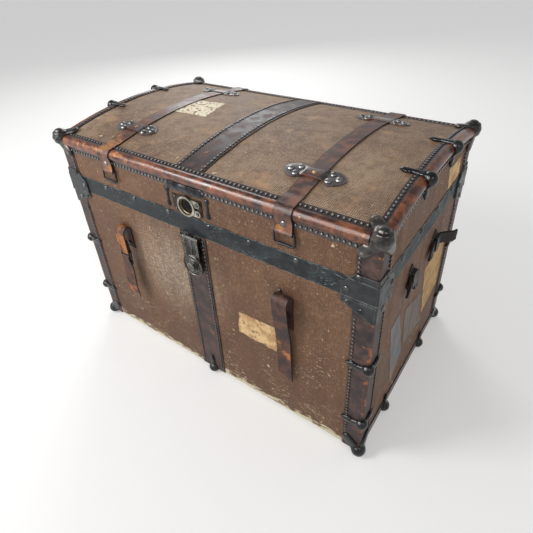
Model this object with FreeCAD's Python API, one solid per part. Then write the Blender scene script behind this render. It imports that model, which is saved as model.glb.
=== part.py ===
import FreeCAD, Part
import math
import os

Vector = FreeCAD.Vector

# Dome top trunk: a canvas covered wooden case with leather bindings and cast corner hardware.
# X runs along the trunk, the front faces -Y, Z is up and the feet stand at zero.

# Wooden case, measured over its boards
case_length = 857.0
case_depth = 516.0
body_height = 445.0
lid_wall_height = 143.0
dome_rise = 31.0
board_thickness = 10.0
dome_board_thickness = 8.0
foot_height = 12.0
seam_gap = 0.6

# Coverings, and the room left between pieces that lie on each other
canvas_thickness = 1.0
lining_thickness = 0.8
leather_thickness = 2.5
seat_clearance = 0.3
running_clearance = 0.05
cut_overrun = 5.0

# Rolled bindings on the lid's edges
strip_width = 13.0
roll_drop = 20.0
roll_inset = 8.0
roll_bulge = 11.0
roll_chords = 8

# Leather on the uprights, and the bands
corner_front_leg = 42.0
corner_end_leg = 45.0
corner_bevel = 3.0
band_width = 76.0
bottom_strip_height = 25.0

# Steel valance and seam brackets
valance_height = 45.0
valance_thickness = 1.5
bracket_front_leg = 65.0
bracket_end_leg = 62.0
bracket_thickness = 2.0
lid_bracket_height = 58.0
lid_bracket_step_height = 45.0
lid_bracket_step = 1.2
lid_bracket_notch = 26.0
body_bracket_height = 42.0
body_bracket_tip_height = 11.0
bracket_lip = 1.6
bracket_lip_height = 4.0

# Cast bumpers on the corners
bumper_radius = 18.5
bumper_inset = 1.5
ball_sides = 10
ball_bands = 4
bumper_tab_run = 33.0
bumper_tab_drop = 34.0
bumper_tab_root = 13.0
bumper_lobe_radius = 10.5
bumper_tab_thickness = 3.5
bumper_top_run = 28.0
bottom_bumper_radius = 17.0
bottom_bumper_inset = 4.0

# Cast ball clamps on the edges
clamp_ball_radius = 12.0
clamp_inset = 3.0
foot_ball_radius = 15.0
foot_ball_inset = 2.0
clamp_leg = 50.0
clamp_leg_thickness = 3.5
clamp_root_half = 8.5
clamp_neck_half = 4.5
clamp_leaf_half = 7.0
clamp_neck_share = 0.46
clamp_leaf_share = 0.7
upright_clamp_heights = (103.0, 280.0)
lid_clamp_spread = 80.0
lid_clamp_ball_radius = 13.0
lid_clamp_ball_stand = 2.0
bottom_clamp_spread = 120.0

# Lid straps with their keepers and wire loops
strap_spread = 248.0
strap_width = 38.0
strap_thickness = 2.5
strap_rise_run = 12.0
strap_eye_drop = 48.0
strap_back_drop = 45.0
strap_top_angle = 95.0
strap_leave_angle = -20.0
strap_bend_chords = 6
wire_radius = 2.25
loop_thickness = 4.0
wire_sides = 8
loop_width = 50.0
loop_drop = 28.0
loop_bevel = 5.0
keeper_inset = 100.0
keeper_length = 132.0
keeper_width = 46.0
keeper_waist = 26.0
keeper_slope = 7.0
keeper_shoulder_share = 0.55
keeper_end_share = 0.86
keeper_end_width_share = 0.62

# Lock ring on the lid
ring_radius = 24.0
ring_bore_radius = 20.0
ring_stand = 7.5
ring_plate_length = 84.0
ring_plate_height = 41.0
ring_plate_thickness = 2.0
ring_plate_bevel = 4.0
ring_ear_radius = 7.5
ring_ear_thickness = 5.0
ring_ear_run = 31.0
ring_ear_spread = 11.0
hood_length = 105.0
hood_height = 19.0
hood_thickness = 3.0
hood_bevel = 4.0
side_bar_spread = 57.0
side_bar_length = 40.0
side_bar_half = 4.0
side_bar_end_radius = 6.0
side_bar_thickness = 3.5

# Hasp on the body
hasp_stand = 12.0
hasp_below_seam = 4.0
hasp_reach = 76.0
hasp_width = 44.0
hasp_thickness = 3.0
hasp_knuckle_radius = 5.0
hasp_knuckle_length = 31.0
hasp_knuckle_gap = 0.5
hasp_pin_radius = 2.5
hasp_rib_width = 5.0
hasp_rib_height = 1.5
hasp_disc_radius = 29.0
hasp_disc_height = 3.5
hasp_boss_radius = 16.0
hasp_boss_height = 3.5
hasp_base_width = 54.0
hasp_base_height = 59.0
hasp_base_thickness = 2.0
hasp_base_bevel = 11.0
barrel_radius = 10.0
barrel_nose = 4.0
barrel_head_radius = 13.0
barrel_head_sides = 16
barrel_head = 2.4
barrel_play = 0.1
key_slot_width = 2.4
key_slot_length = 12.0

# Lid hinges at the back
hinge_corner_gap = 16.0
hinge_length = 66.0
hinge_knuckle_length = 22.0
hinge_knuckle_gap = 0.4
hinge_stand = 8.0
hinge_knuckle_radius = 5.0
hinge_pin_radius = 2.5
hinge_leaf_height = 42.0
hinge_leaf_thickness = 2.0
hinge_leaf_bevel = 8.0
knuckle_sides = 12
hinge_web = 4.5

# Straps on the body's front
body_strap_spread = 243.0
body_strap_below_seam = 57.0
body_strap_thickness = 3.0
body_strap_fold_stand = 27.0
right_strap_width = 36.0
right_strap_length = 257.0
right_strap_slant = 16.0
right_strap_end_stand = 10.0
right_strap_middle_stand = 17.0
right_strap_back_length = 95.0
left_strap_width = 32.0
left_strap_back_length = 70.0
buckle_below_fold = 73.0
buckle_width = 43.0
buckle_drop = 17.0
buckle_bevel = 3.0
buckle_stand = 22.0
tail_width = 24.0
tail_length = 158.0
tail_stand = 12.0
tail_fork = 16.0
tail_fork_width = 3.0

# Handles and their keepers on the ends
handle_below_seam = 65.0
handle_spread = 74.0
handle_width = 30.0
handle_thickness = 5.0
handle_seat = 4.0
handle_bow = 34.0
handle_end_length = 26.0
keeper_plate_height = 70.0
keeper_plate_width = 28.0
keeper_plate_thickness = 3.0
keeper_bridge_width = 22.0
keeper_bridge_wall = 4.0
keeper_bridge_top = 3.0
keeper_plate_tip_share = 0.35
stub_droop = 58.0
stub_droop_width = 22.0
stub_fray = 14.0
stub_strip_count = 3
stub_bend_share = 0.8
stub_run = 40.0
stub_reach = 30.0
bend_chords = 4

# Places worked out from the sizes above
half_length = case_length / 2
half_depth = case_depth / 2
base_z = foot_height
seam_z = base_z + body_height
lid_z = seam_z + seam_gap
edge_z = seam_z + lid_wall_height
crown_z = edge_z + dome_rise
canvas_x = half_length + canvas_thickness
canvas_y = half_depth + canvas_thickness
leather_x = canvas_x + leather_thickness
leather_y = canvas_y + leather_thickness
dome_radius = (canvas_y ** 2 + dome_rise ** 2) / (2 * dome_rise)
dome_axis_z = crown_z - dome_radius
dome_board_radius = dome_radius - canvas_thickness
dome_inner_radius = dome_board_radius - dome_board_thickness
binding_end = roll_inset + strip_width
ring_z = seam_z - hasp_below_seam + hasp_reach
hasp_axis = Vector(0, -canvas_y - hasp_stand, seam_z - hasp_below_seam)
lid_axis = Vector(0, canvas_y + hinge_stand, seam_z + seam_gap / 2)
hinge_x = leather_x - bracket_front_leg - hinge_corner_gap - hinge_length / 2
strap_eye_stand = leather_thickness + seat_clearance + strap_thickness
strap_eye_y = -canvas_y - strap_eye_stand
strap_eye_z = edge_z - strap_eye_drop
eye_bore_radius = wire_radius + seat_clearance
eye_radius = eye_bore_radius + strap_thickness
body_strap_top = seam_z - body_strap_below_seam
right_strap_end = body_strap_top - right_strap_length
buckle_y = -canvas_y - buckle_stand
buckle_z = body_strap_top - buckle_below_fold
tail_hook_z = buckle_z - buckle_drop
tail_end = tail_hook_z - tail_length
handle_z = seam_z - handle_below_seam

X_AXIS = Vector(1, 0, 0)
Y_AXIS = Vector(0, 1, 0)
Z_AXIS = Vector(0, 0, 1)
ORIGIN = Vector(0, 0, 0)


def block(x0, x1, y0, y1, z0, z1):
    """Box between two corners."""
    return Part.makeBox(x1 - x0, y1 - y0, z1 - z0, Vector(x0, y0, z0))


def bar(radius, start, end):
    """Round bar between two points."""
    return Part.makeCylinder(radius, (end - start).Length, start, end - start)


def ring_points(radius, sides, turn):
    """Points spread evenly on a circle, as flat pairs, the first one turned by an angle."""
    step = 2 * math.pi / sides
    angles = [turn + step * number for number in range(sides)]
    return [(radius * math.cos(angle), radius * math.sin(angle)) for angle in angles]


def cast_ball(radius, centre, axis):
    """Ball of flat faces, in bands of quadrangles about an axis, which keeps the many castings light."""
    turn = FreeCAD.Rotation(Z_AXIS, axis)
    rings = []
    for ring in range(ball_bands + 1):
        tilt = math.pi * (2 * ring + 1) / (2 * ball_bands + 2)
        points = ring_points(radius * math.sin(tilt), ball_sides, 0)
        rise = radius * math.cos(tilt)
        rings.append([centre + turn.multVec(Vector(a, b, rise)) for a, b in points])
    faces = [Part.Face(Part.makePolygon(ring + ring[:1])) for ring in (rings[0], rings[-1])]
    for upper, lower in zip(rings, rings[1:]):
        for number in range(ball_sides):
            after = (number + 1) % ball_sides
            corners = [upper[number], lower[number], lower[after], upper[after], upper[number]]
            faces.append(Part.Face(Part.makePolygon(corners)))
    return Part.Solid(Part.makeShell(faces))


def prism(radius, sides, start, run):
    """Prism along X whose flats lie at a radius from its axis."""
    points = ring_points(radius / math.cos(math.pi / sides), sides, math.pi / sides)
    place = lambda a, b: start + Y_AXIS * a + Z_AXIS * b
    return outline(points[0], points[1:], place).extrude(run)


def arc_points(centre, radius, first, last, chords):
    """Flat points along an arc from one angle to another, both ends included."""
    step = (last - first) / chords
    angles = [first + step * number for number in range(chords + 1)]
    return [(centre[0] + radius * math.cos(a), centre[1] + radius * math.sin(a)) for a in angles]


def on_yz(x):
    return lambda y, z: Vector(x, y, z)


def on_xz(y):
    return lambda x, z: Vector(x, y, z)


def on_xy(z):
    return lambda x, y: Vector(x, y, z)


def path_edges(start, steps, place):
    """Edges along flat points: a point draws a line, a pair of points draws an arc through the first."""
    edges = []
    here = start
    for step in steps:
        if isinstance(step[0], tuple):
            there = step[1]
            edges.append(Part.Arc(place(*here), place(*step[0]), place(*there)).toShape())
        else:
            there = step
            edges.append(Part.LineSegment(place(*here), place(*there)).toShape())
        here = there
    return edges


def outline(start, steps, place):
    """Flat face inside a closed path, which is closed by a line back to its start."""
    return Part.Face(Part.Wire(path_edges(start, list(steps) + [start], place)))


def ribbon(start, steps, place, thickness, run):
    """Strip of leather of one thickness along a flat path, run is its width as a vector."""
    wire = Part.Wire(path_edges(start, steps, place))
    return wire.makeOffset2D(thickness, fill=True, openResult=True).extrude(run)


def bevelled_plate(half_width, low, high, bevel, place, run):
    """Plate with a square top and bevelled lower corners."""
    face = outline(
        (-half_width, high),
        [
            (-half_width, low + bevel),
            (-half_width + bevel, low),
            (half_width - bevel, low),
            (half_width, low + bevel),
            (half_width, high),
        ],
        place,
    )
    return face.extrude(run)


def at_four_corners(shape):
    """The shape at the front right corner and its mirror images at the other three."""
    left = shape.mirror(ORIGIN, X_AXIS)
    return [shape, left, shape.mirror(ORIGIN, Y_AXIS), left.mirror(ORIGIN, Y_AXIS)]


def both_sides(shape, axis):
    return [shape, shape.mirror(ORIGIN, axis)]


def dome_height(y, lift):
    """Height of the dome's canvas at a depth, raised square to the dome by lift."""
    return dome_axis_z + math.sqrt((dome_radius + lift) ** 2 - y ** 2)


def dome_point(y, lift):
    return (y, dome_height(y, lift))


def barrel_form(radius):
    """Long round bar about the dome's own axis."""
    reach = case_length
    return bar(radius, Vector(-reach, 0, dome_axis_z), Vector(reach, 0, dome_axis_z))


def lid_form(wall, dome):
    """The lid's block, grown by wall at the sides and by dome at the top."""
    x = half_length + wall
    y = half_depth + wall
    walls = block(-x, x, -y, y, lid_z, crown_z + cut_overrun)
    return walls.common(barrel_form(dome_board_radius + dome))


def body_boards():
    """Planks of the body: long front and back, ends between them, and the bottom inside."""
    t = board_thickness
    inner_x = half_length - t
    inner_y = half_depth - t
    front = block(-half_length, half_length, -half_depth, -inner_y, base_z, seam_z)
    end = block(inner_x, half_length, -inner_y, inner_y, base_z, seam_z)
    return {
        "front_board": front,
        "back_board": front.mirror(ORIGIN, Y_AXIS),
        "right_end_board": end,
        "left_end_board": end.mirror(ORIGIN, X_AXIS),
        "bottom_board": block(-inner_x, inner_x, -inner_y, inner_y, base_z, base_z + t),
    }


def body_skins():
    """Canvas round the body's walls, and the paper lining on its walls and floor."""
    canvas = block(-canvas_x, canvas_x, -canvas_y, canvas_y, base_z, seam_z)
    canvas = canvas.cut(block(-half_length, half_length, -half_depth, half_depth, base_z, seam_z))
    x = half_length - board_thickness
    y = half_depth - board_thickness
    z = base_z + board_thickness
    p = lining_thickness
    lining = block(-x, x, -y, y, z, seam_z).cut(block(p - x, x - p, p - y, y - p, z + p, seam_z))
    return {"body_canvas": canvas, "body_lining": lining}


def lid_boards():
    """Planks of the lid under the dome board, and the curved dome board itself."""
    inner_x = half_length - board_thickness
    inner_y = half_depth - board_thickness
    top = crown_z
    walls = lid_form(0, -dome_board_thickness)
    front = walls.common(block(-half_length, half_length, -half_depth, -inner_y, lid_z, top))
    end = walls.common(block(inner_x, half_length, -inner_y, inner_y, lid_z, top))
    return {
        "dome_board": lid_form(0, 0).cut(barrel_form(dome_inner_radius)),
        "lid_front_board": front,
        "lid_back_board": front.mirror(ORIGIN, Y_AXIS),
        "lid_right_end_board": end,
        "lid_left_end_board": end.mirror(ORIGIN, X_AXIS),
    }


def lid_skins():
    """Canvas on the lid's walls and dome, and the paper lining inside."""
    wall = -board_thickness
    dome = -dome_board_thickness
    p = lining_thickness
    return {
        "dome_canvas": lid_form(canvas_thickness, canvas_thickness).cut(barrel_form(dome_board_radius)),
        "lid_wall_canvas": lid_form(canvas_thickness, 0).cut(lid_form(0, 0)),
        "lid_lining": lid_form(wall, dome).cut(lid_form(wall - p, dome - p)),
    }


def roll_arc(low, high):
    """Centre and radius of the roll's arc over its two borders, and its points from low to high."""
    run = high[0] - low[0]
    rise = high[1] - low[1]
    chord = math.hypot(run, rise)
    radius = ((chord / 2) ** 2 + roll_bulge ** 2) / (2 * roll_bulge)
    sink = (radius - roll_bulge) / chord
    centre = ((low[0] + high[0]) / 2 - rise * sink, (low[1] + high[1]) / 2 + run * sink)
    first = math.atan2(low[1] - centre[1], low[0] - centre[0])
    last = math.atan2(high[1] - centre[1], high[0] - centre[0])
    return centre, radius, arc_points(centre, radius, first, last, roll_chords)


def back_roll_borders():
    """Lower and upper border of the roll on the back edge, as depth and height."""
    low = (leather_y, edge_z - roll_drop)
    high = dome_point(canvas_y - roll_inset, leather_thickness)
    return low, high


def end_roll_borders():
    """Lower and upper border of the roll on the right end, as length and height at the crown."""
    low = (leather_x, crown_z - roll_drop)
    high = (canvas_x - roll_inset, crown_z + leather_thickness)
    return low, high


def lid_bindings():
    """Leather bindings: a flat margin on the wall, the roll over the edge, a flat margin on the dome."""
    low, high = back_roll_borders()
    foot = edge_z - roll_drop - strip_width
    inner_y = canvas_y - binding_end
    halfway = (inner_y + high[0]) / 2
    halfway_back = (inner_y + canvas_y) / 2
    steps = [
        (leather_y, foot),
        *roll_arc(low, high)[2],
        (dome_point(halfway, leather_thickness), dome_point(inner_y, leather_thickness)),
        dome_point(inner_y, 0),
        (dome_point(halfway_back, 0), (canvas_y, edge_z)),
    ]
    reach = canvas_x - binding_end
    back = outline((canvas_y, foot), steps, on_yz(-reach)).extrude(X_AXIS * (2 * reach))

    low, high = end_roll_borders()
    foot = crown_z - roll_drop - strip_width
    inner_x = canvas_x - binding_end
    steps = [
        (leather_x, foot),
        *roll_arc(low, high)[2],
        (inner_x, high[1]),
        (inner_x, crown_z),
        (canvas_x, crown_z),
    ]
    profile = outline((canvas_x, foot), steps, on_xz(0))
    swing = math.degrees(math.asin((canvas_y - binding_end) / dome_radius))
    axis_point = Vector(0, 0, dome_axis_z)
    profile.rotate(axis_point, X_AXIS, -swing)
    right = profile.revolve(axis_point, X_AXIS, 2 * swing)
    return {
        "lid_front_binding": back.mirror(ORIGIN, Y_AXIS),
        "lid_back_binding": back,
        "lid_end_bindings": Part.makeCompound(both_sides(right, X_AXIS)),
    }


def corner_angle(front_leg, end_leg, under, thickness, low, high):
    """Angle piece round the front right corner, on a covering of the thickness under it."""
    x0 = canvas_x + under
    y0 = canvas_y + under
    x1 = x0 + thickness
    y1 = y0 + thickness
    face = outline(
        (canvas_x - front_leg, -y0),
        [
            (canvas_x - front_leg, -y1),
            (x1 - corner_bevel, -y1),
            (x1, -y1 + corner_bevel),
            (x1, end_leg - canvas_y),
            (x0, end_leg - canvas_y),
            (x0, -y0),
        ],
        on_xy(low),
    )
    return face.extrude(Z_AXIS * (high - low))


def corner_leathers(bindings):
    """Leather folded round each upright, of the body and of the lid up to the bindings."""
    t = leather_thickness
    body = corner_angle(corner_front_leg, corner_end_leg, 0, t, base_z, seam_z)
    lid = corner_angle(corner_front_leg, corner_end_leg, 0, t, lid_z, edge_z - t)
    lid = lid.cut(bindings["lid_front_binding"]).cut(bindings["lid_end_bindings"])
    return {
        "body_corner_leathers": Part.makeCompound(at_four_corners(body)),
        "lid_corner_leathers": Part.makeCompound(at_four_corners(lid)),
    }, lid


def bands_and_strips():
    """Leather centre bands, and the strips along the bottom edges of the ends."""
    half = band_width / 2
    front = block(-half, half, -leather_y, -canvas_y, base_z, seam_z)
    inner_y = canvas_y - binding_end
    dome = barrel_form(dome_radius + leather_thickness).cut(barrel_form(dome_radius))
    dome = dome.common(block(-half, half, -inner_y, inner_y, edge_z, crown_z + cut_overrun))
    reach = canvas_y - corner_end_leg
    strip = block(canvas_x, leather_x, -reach, reach, base_z, base_z + bottom_strip_height)
    return {
        "front_centre_band": front,
        "back_centre_band": front.mirror(ORIGIN, Y_AXIS),
        "dome_centre_band": dome,
        "bottom_end_strips": Part.makeCompound(both_sides(strip, X_AXIS)),
    }


def valance():
    """Steel strips round the foot of the lid, between the leather of its corners."""
    top = lid_z + valance_height
    x = canvas_x - corner_front_leg
    y = canvas_y - corner_end_leg
    t = valance_thickness
    front = block(-x, x, -canvas_y - t, -canvas_y, lid_z, top)
    right = block(canvas_x, canvas_x + t, -y, y, lid_z, top)
    return {
        "valance_front": front,
        "valance_back": front.mirror(ORIGIN, Y_AXIS),
        "valance_ends": Part.makeCompound(both_sides(right, X_AXIS)),
    }


def seam_brackets():
    """Pressed steel corner brackets that meet at the seam, each with a rolled lip there."""
    t = bracket_thickness
    under = leather_thickness
    front = bracket_front_leg
    end = bracket_end_leg
    reach = case_length
    top = lid_z + lid_bracket_height
    lid = corner_angle(front, end, under, t, lid_z, top)
    step = corner_angle(front, end, under, t + lid_bracket_step, lid_z, lid_z + lid_bracket_step_height)
    lip = corner_angle(front, end, under, t + bracket_lip, lid_z, lid_z + bracket_lip_height)
    lid = lid.fuse(step)
    corner = canvas_x - front
    notch = [(corner + lid_bracket_notch, top), (corner, top - lid_bracket_notch)]
    lid = lid.cut(outline((corner, top), notch, on_xz(0)).extrude(-Y_AXIS * reach))
    corner = end - canvas_y
    notch = [(corner - lid_bracket_notch, top), (corner, top - lid_bracket_notch)]
    lid = lid.cut(outline((corner, top), notch, on_yz(0)).extrude(X_AXIS * reach))
    lid = lid.fuse(lip).removeSplitter()

    foot = seam_z - body_bracket_height
    tip = seam_z - body_bracket_tip_height
    body = corner_angle(front, end, under, t, foot, seam_z)
    lip = corner_angle(front, end, under, t + bracket_lip, seam_z - bracket_lip_height, seam_z)
    far_x = canvas_x - front - cut_overrun
    far_y = end - canvas_y + cut_overrun
    low = foot - cut_overrun
    wedge = outline((far_x, tip), [(leather_x, foot), (leather_x, low), (far_x, low)], on_xz(-leather_y))
    body = body.cut(wedge.extrude(-Y_AXIS * (t + cut_overrun)))
    wedge = outline((far_y, tip), [(-leather_y, foot), (-leather_y, low), (far_y, low)], on_yz(leather_x))
    body = body.cut(wedge.extrude(X_AXIS * (t + cut_overrun)))
    body = body.fuse(lip).removeSplitter()
    return {
        "lid_corner_brackets": Part.makeCompound(at_four_corners(lid)),
        "body_corner_brackets": Part.makeCompound(at_four_corners(body)),
    }


def lobed_tab(origin, along, across, out, length):
    """Flat cast tab from a bumper's ball to its round lobe."""
    place = lambda a, b: origin + along * a + across * b
    lobe = arc_points((length, 0), bumper_lobe_radius, -math.pi / 2, math.pi / 2, ball_sides // 2)
    face = outline((0, -bumper_tab_root), lobe + [(0, bumper_tab_root)], place)
    return face.extrude(out * bumper_tab_thickness)


def corner_bumpers(bindings, lid_leather):
    """Cast ball bumpers: a ball on the corner with a lobed tab on each of its three faces."""
    tab_length = math.hypot(bumper_tab_run, bumper_tab_drop)
    run = bumper_tab_run / tab_length
    drop = bumper_tab_drop / tab_length

    centre = Vector(canvas_x - bumper_inset, bumper_inset - canvas_y, edge_z)
    front = lobed_tab(Vector(leather_x, -leather_y, edge_z), Vector(-run, 0, -drop),
                      Vector(-drop, 0, run), -Y_AXIS, tab_length)
    end = lobed_tab(Vector(leather_x, -leather_y, edge_z), Vector(0, run, -drop),
                    Vector(0, drop, run), X_AXIS, tab_length)
    near_y = bumper_top_run - canvas_y
    near = Vector(leather_x - bumper_top_run, near_y, dome_height(near_y, leather_thickness))
    out = Vector(0, near.y, near.z - dome_axis_z).normalize()
    level = Vector(-bumper_top_run, bumper_top_run, 0)
    along = (level - out * level.dot(out)).normalize()
    across = out.cross(along)
    top_length = level.Length
    top = lobed_tab(near - along * top_length + out * seat_clearance, along, across, out, top_length)
    bumper = cast_ball(bumper_radius, centre, Z_AXIS).fuse([front, end, top])
    bumper = bumper.cut(lid_form(canvas_thickness, canvas_thickness)).cut(lid_leather)
    bumper = bumper.cut(bindings["lid_front_binding"]).cut(bindings["lid_end_bindings"])

    inset = bottom_bumper_inset
    centre = Vector(leather_x - inset, inset - leather_y, base_z + inset)
    corner = Vector(leather_x, -leather_y, base_z)
    front = lobed_tab(corner, Vector(-run, 0, drop), Vector(drop, 0, run), -Y_AXIS, tab_length)
    end = lobed_tab(corner, Vector(0, run, drop), Vector(0, -drop, run), X_AXIS, tab_length)
    under = lobed_tab(corner, Vector(-drop, run, 0), Vector(run, drop, 0), -Z_AXIS, tab_length)
    foot = cast_ball(bottom_bumper_radius, centre, Z_AXIS).fuse([front, end, under])
    foot = foot.cut(block(-leather_x, leather_x, -leather_y, leather_y, base_z, seam_z))
    reach = leather_x + case_depth
    foot = foot.cut(block(-reach, reach, -reach, reach, -foot_height - cut_overrun, 0))
    return {
        "lid_corner_bumpers": Part.makeCompound(at_four_corners(main_solid(bumper))),
        "bottom_corner_bumpers": Part.makeCompound(at_four_corners(foot)),
    }


def main_solid(shape):
    """The main solid of a cut shape, without chips that the cuts left loose."""
    return max(shape.Solids, key=lambda solid: solid.Volume)


def leaf_outline(place):
    """Leaf shaped leg of a clamp: wide at the ball, a neck, then a leaf that ends in a point."""
    neck = clamp_leg * clamp_neck_share
    leaf = clamp_leg * clamp_leaf_share
    return outline(
        (0, -clamp_root_half),
        [
            (neck, -clamp_neck_half),
            (leaf, -clamp_leaf_half),
            (clamp_leg, 0),
            (leaf, clamp_leaf_half),
            (neck, clamp_neck_half),
            (0, clamp_root_half),
        ],
        place,
    )


def edge_clamp(radius, inset):
    """Ball clamp on a square edge along Y, whose two faces look to +X and +Z."""
    t = clamp_leg_thickness
    top = leaf_outline(lambda a, b: Vector(-a, b, 0)).extrude(Z_AXIS * t)
    side = leaf_outline(lambda a, b: Vector(0, b, -a)).extrude(X_AXIS * t)
    knob = cast_ball(radius, Vector(-inset, 0, -inset), Y_AXIS)
    reach = clamp_leg + cut_overrun
    edge = block(-reach, 0, -reach, reach, -reach, 0)
    return knob.fuse([top, side]).cut(edge)


def set_down(shape, origin, x_axis, z_axis):
    """Copy of a shape with its own X and Z turned to the given axes and its zero at origin."""
    turn = FreeCAD.Rotation(x_axis, z_axis.cross(x_axis), z_axis, "ZXY")
    copy = shape.copy()
    copy.Placement = FreeCAD.Placement(origin, turn)
    return copy


def edge_clamps():
    """Clamps on the uprights, on the bottom edges of the ends, and under the front and back."""
    upright = edge_clamp(clamp_ball_radius, clamp_inset)
    uprights = []
    for height in upright_clamp_heights:
        place = Vector(leather_x, -leather_y, base_z + height)
        uprights += at_four_corners(set_down(upright, place, X_AXIS, -Y_AXIS))

    foot = edge_clamp(foot_ball_radius, foot_ball_inset)
    floor = block(-case_length, case_length, -case_length, case_length, -case_length, 0)
    end = set_down(foot, Vector(leather_x, -bottom_clamp_spread, base_z), X_AXIS, -Z_AXIS).cut(floor)
    middle = set_down(foot, Vector(0, -leather_y, base_z), -Y_AXIS, -Z_AXIS).cut(floor)
    return {
        "upright_clamps": Part.makeCompound(uprights),
        "bottom_end_clamps": Part.makeCompound(at_four_corners(end)),
        "centre_foot_clamps": Part.makeCompound(both_sides(middle, Y_AXIS)),
    }


def lid_end_clamps():
    """Ball clamps over the roll of the lid's ends, with one leg on the dome and one on the end."""
    t = clamp_leg_thickness
    low, high = end_roll_borders()
    centre, radius, arc = roll_arc(low, high)
    lifted = lambda p, lift: tuple(c + (v - c) * (radius + lift) / radius for v, c in zip(p, centre))
    roll = [lifted(point, seat_clearance) for point in arc]
    over_roll = [lifted(point, seat_clearance + t) for point in arc]
    inner_x = canvas_x - clamp_leg
    foot = crown_z - clamp_leg
    inside = [
        (inner_x, high[1]),
        (roll[-1][0], high[1]),
        *roll[::-1],
        (low[0], roll[0][1]),
        (low[0], foot),
    ]
    outside = [
        (low[0] + t, foot),
        (low[0] + t, over_roll[0][1]),
        *over_roll,
        (over_roll[-1][0], high[1] + t),
        (inner_x, high[1] + t),
    ]
    half = clamp_root_half
    width = Y_AXIS * (2 * half)
    saddle = outline(inside[0], inside[1:] + outside, on_xz(-half)).extrude(width)
    top = leaf_outline(lambda a, b: Vector(canvas_x - a, b, crown_z)).extrude(Z_AXIS * clamp_leg)
    side = leaf_outline(lambda a, b: Vector(canvas_x, b, crown_z - a)).extrude(X_AXIS * clamp_leg)
    edge = block(canvas_x - roll_inset, canvas_x + clamp_leg, -half, half,
                 crown_z - roll_drop, crown_z + clamp_leg)
    saddle = saddle.common(top.fuse([side, edge]))
    knob_x, knob_z = lifted(arc[roll_chords // 2], lid_clamp_ball_stand)
    knob = cast_ball(lid_clamp_ball_radius, Vector(knob_x, 0, knob_z), Y_AXIS)
    reach = lid_clamp_ball_radius + cut_overrun
    form = outline(inside[0], inside[1:] + [(inner_x, foot)], on_xz(-reach)).extrude(Y_AXIS * (2 * reach))
    clamp = saddle.fuse(main_solid(knob.cut(form))).removeSplitter()
    axis_point = Vector(0, 0, dome_axis_z)
    clamp.rotate(axis_point, X_AXIS, math.degrees(math.asin(lid_clamp_spread / dome_radius)))
    return {"lid_end_clamps": Part.makeCompound(at_four_corners(clamp))}


def lid_strap_outline():
    """Side view of a lid strap: over the dome and both rolls, and down the front and back walls."""
    low, high = back_roll_borders()
    centre, radius = roll_arc(low, high)[:2]
    gap = seat_clearance
    t = strap_thickness
    inner_y = canvas_y - binding_end
    start_y = inner_y - strap_rise_run

    def half(lift):
        """Points of one face of the strap over the back roll, from the dome down to the wall."""
        first = math.radians(strap_top_angle)
        last = math.radians(strap_leave_angle)
        bend = arc_points(centre, radius + gap + lift, first, last, strap_bend_chords)
        wall = leather_y + gap + lift
        fall = (bend[-1][0] - wall) / math.tan(-last)
        return [
            dome_point(start_y, gap + lift),
            dome_point(inner_y, leather_thickness + gap + lift),
            *bend,
            (wall, bend[-1][1] - fall),
        ]

    flip = lambda p: (-p[0], p[1])
    inner = half(0)
    outer = half(t)
    foot = edge_z - strap_back_drop
    front_inner = -inner[-1][0]
    front_outer = front_inner - 2 * t
    crown_inner = dome_point(0, gap)
    crown_outer = dome_point(0, gap + t)
    steps = inner[1:] + [
        (inner[-1][0], foot),
        (outer[-1][0], foot),
        *outer[::-1],
        (crown_outer, flip(outer[0])),
        *[flip(point) for point in outer[1:-1]],
        (front_outer, outer[-1][1]),
        (front_outer, strap_eye_z),
        (front_inner, strap_eye_z),
        *[flip(point) for point in inner[::-1]],
        (crown_inner, inner[0]),
    ]
    return inner[0], steps


def lid_straps():
    """Leather straps over the lid, each folded round its wire loop at the front."""
    start, steps = lid_strap_outline()
    face = Part.Face(Part.Wire(path_edges(start, steps, on_yz(-strap_width / 2))))
    strap = face.extrude(X_AXIS * strap_width)
    eye = Vector(-strap_width / 2, strap_eye_y, strap_eye_z)
    width = X_AXIS * strap_width
    strap = strap.fuse(prism(eye_radius, wire_sides, eye, width))
    strap = strap.cut(prism(eye_bore_radius, wire_sides, eye, width))
    return {
        "left_lid_strap": strap.translated(-X_AXIS * strap_spread),
        "right_lid_strap": strap.translated(X_AXIS * strap_spread),
    }


def wire_loop(width, drop, bevel, place):
    """Loop of square wire with bevelled lower corners, hung on a many sided top bar."""
    r = wire_radius
    out = width / 2
    inside = out - 2 * r
    low = -drop - r
    high = -drop + r
    face = outline(
        (-out, 0),
        [
            (-out, low + bevel),
            (-out + bevel, low),
            (out - bevel, low),
            (out, low + bevel),
            (out, 0),
            (inside, 0),
            (inside, high),
            (-inside, high),
            (-inside, 0),
        ],
        place,
    )
    half = Y_AXIS * loop_thickness / 2
    frame = face.translated(-half).extrude(half * 2)
    return frame.fuse(prism(r * math.cos(math.pi / wire_sides), wire_sides, place(-out, 0), X_AXIS * width))


def strap_loops():
    """Wire loops that hang from the folds of the lid straps."""
    place = lambda a, b: Vector(a, strap_eye_y, strap_eye_z + b)
    loop = wire_loop(loop_width, loop_drop, loop_bevel, place)
    return {
        "left_strap_loop": loop.translated(-X_AXIS * strap_spread),
        "right_strap_loop": loop.translated(X_AXIS * strap_spread),
    }


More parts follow.
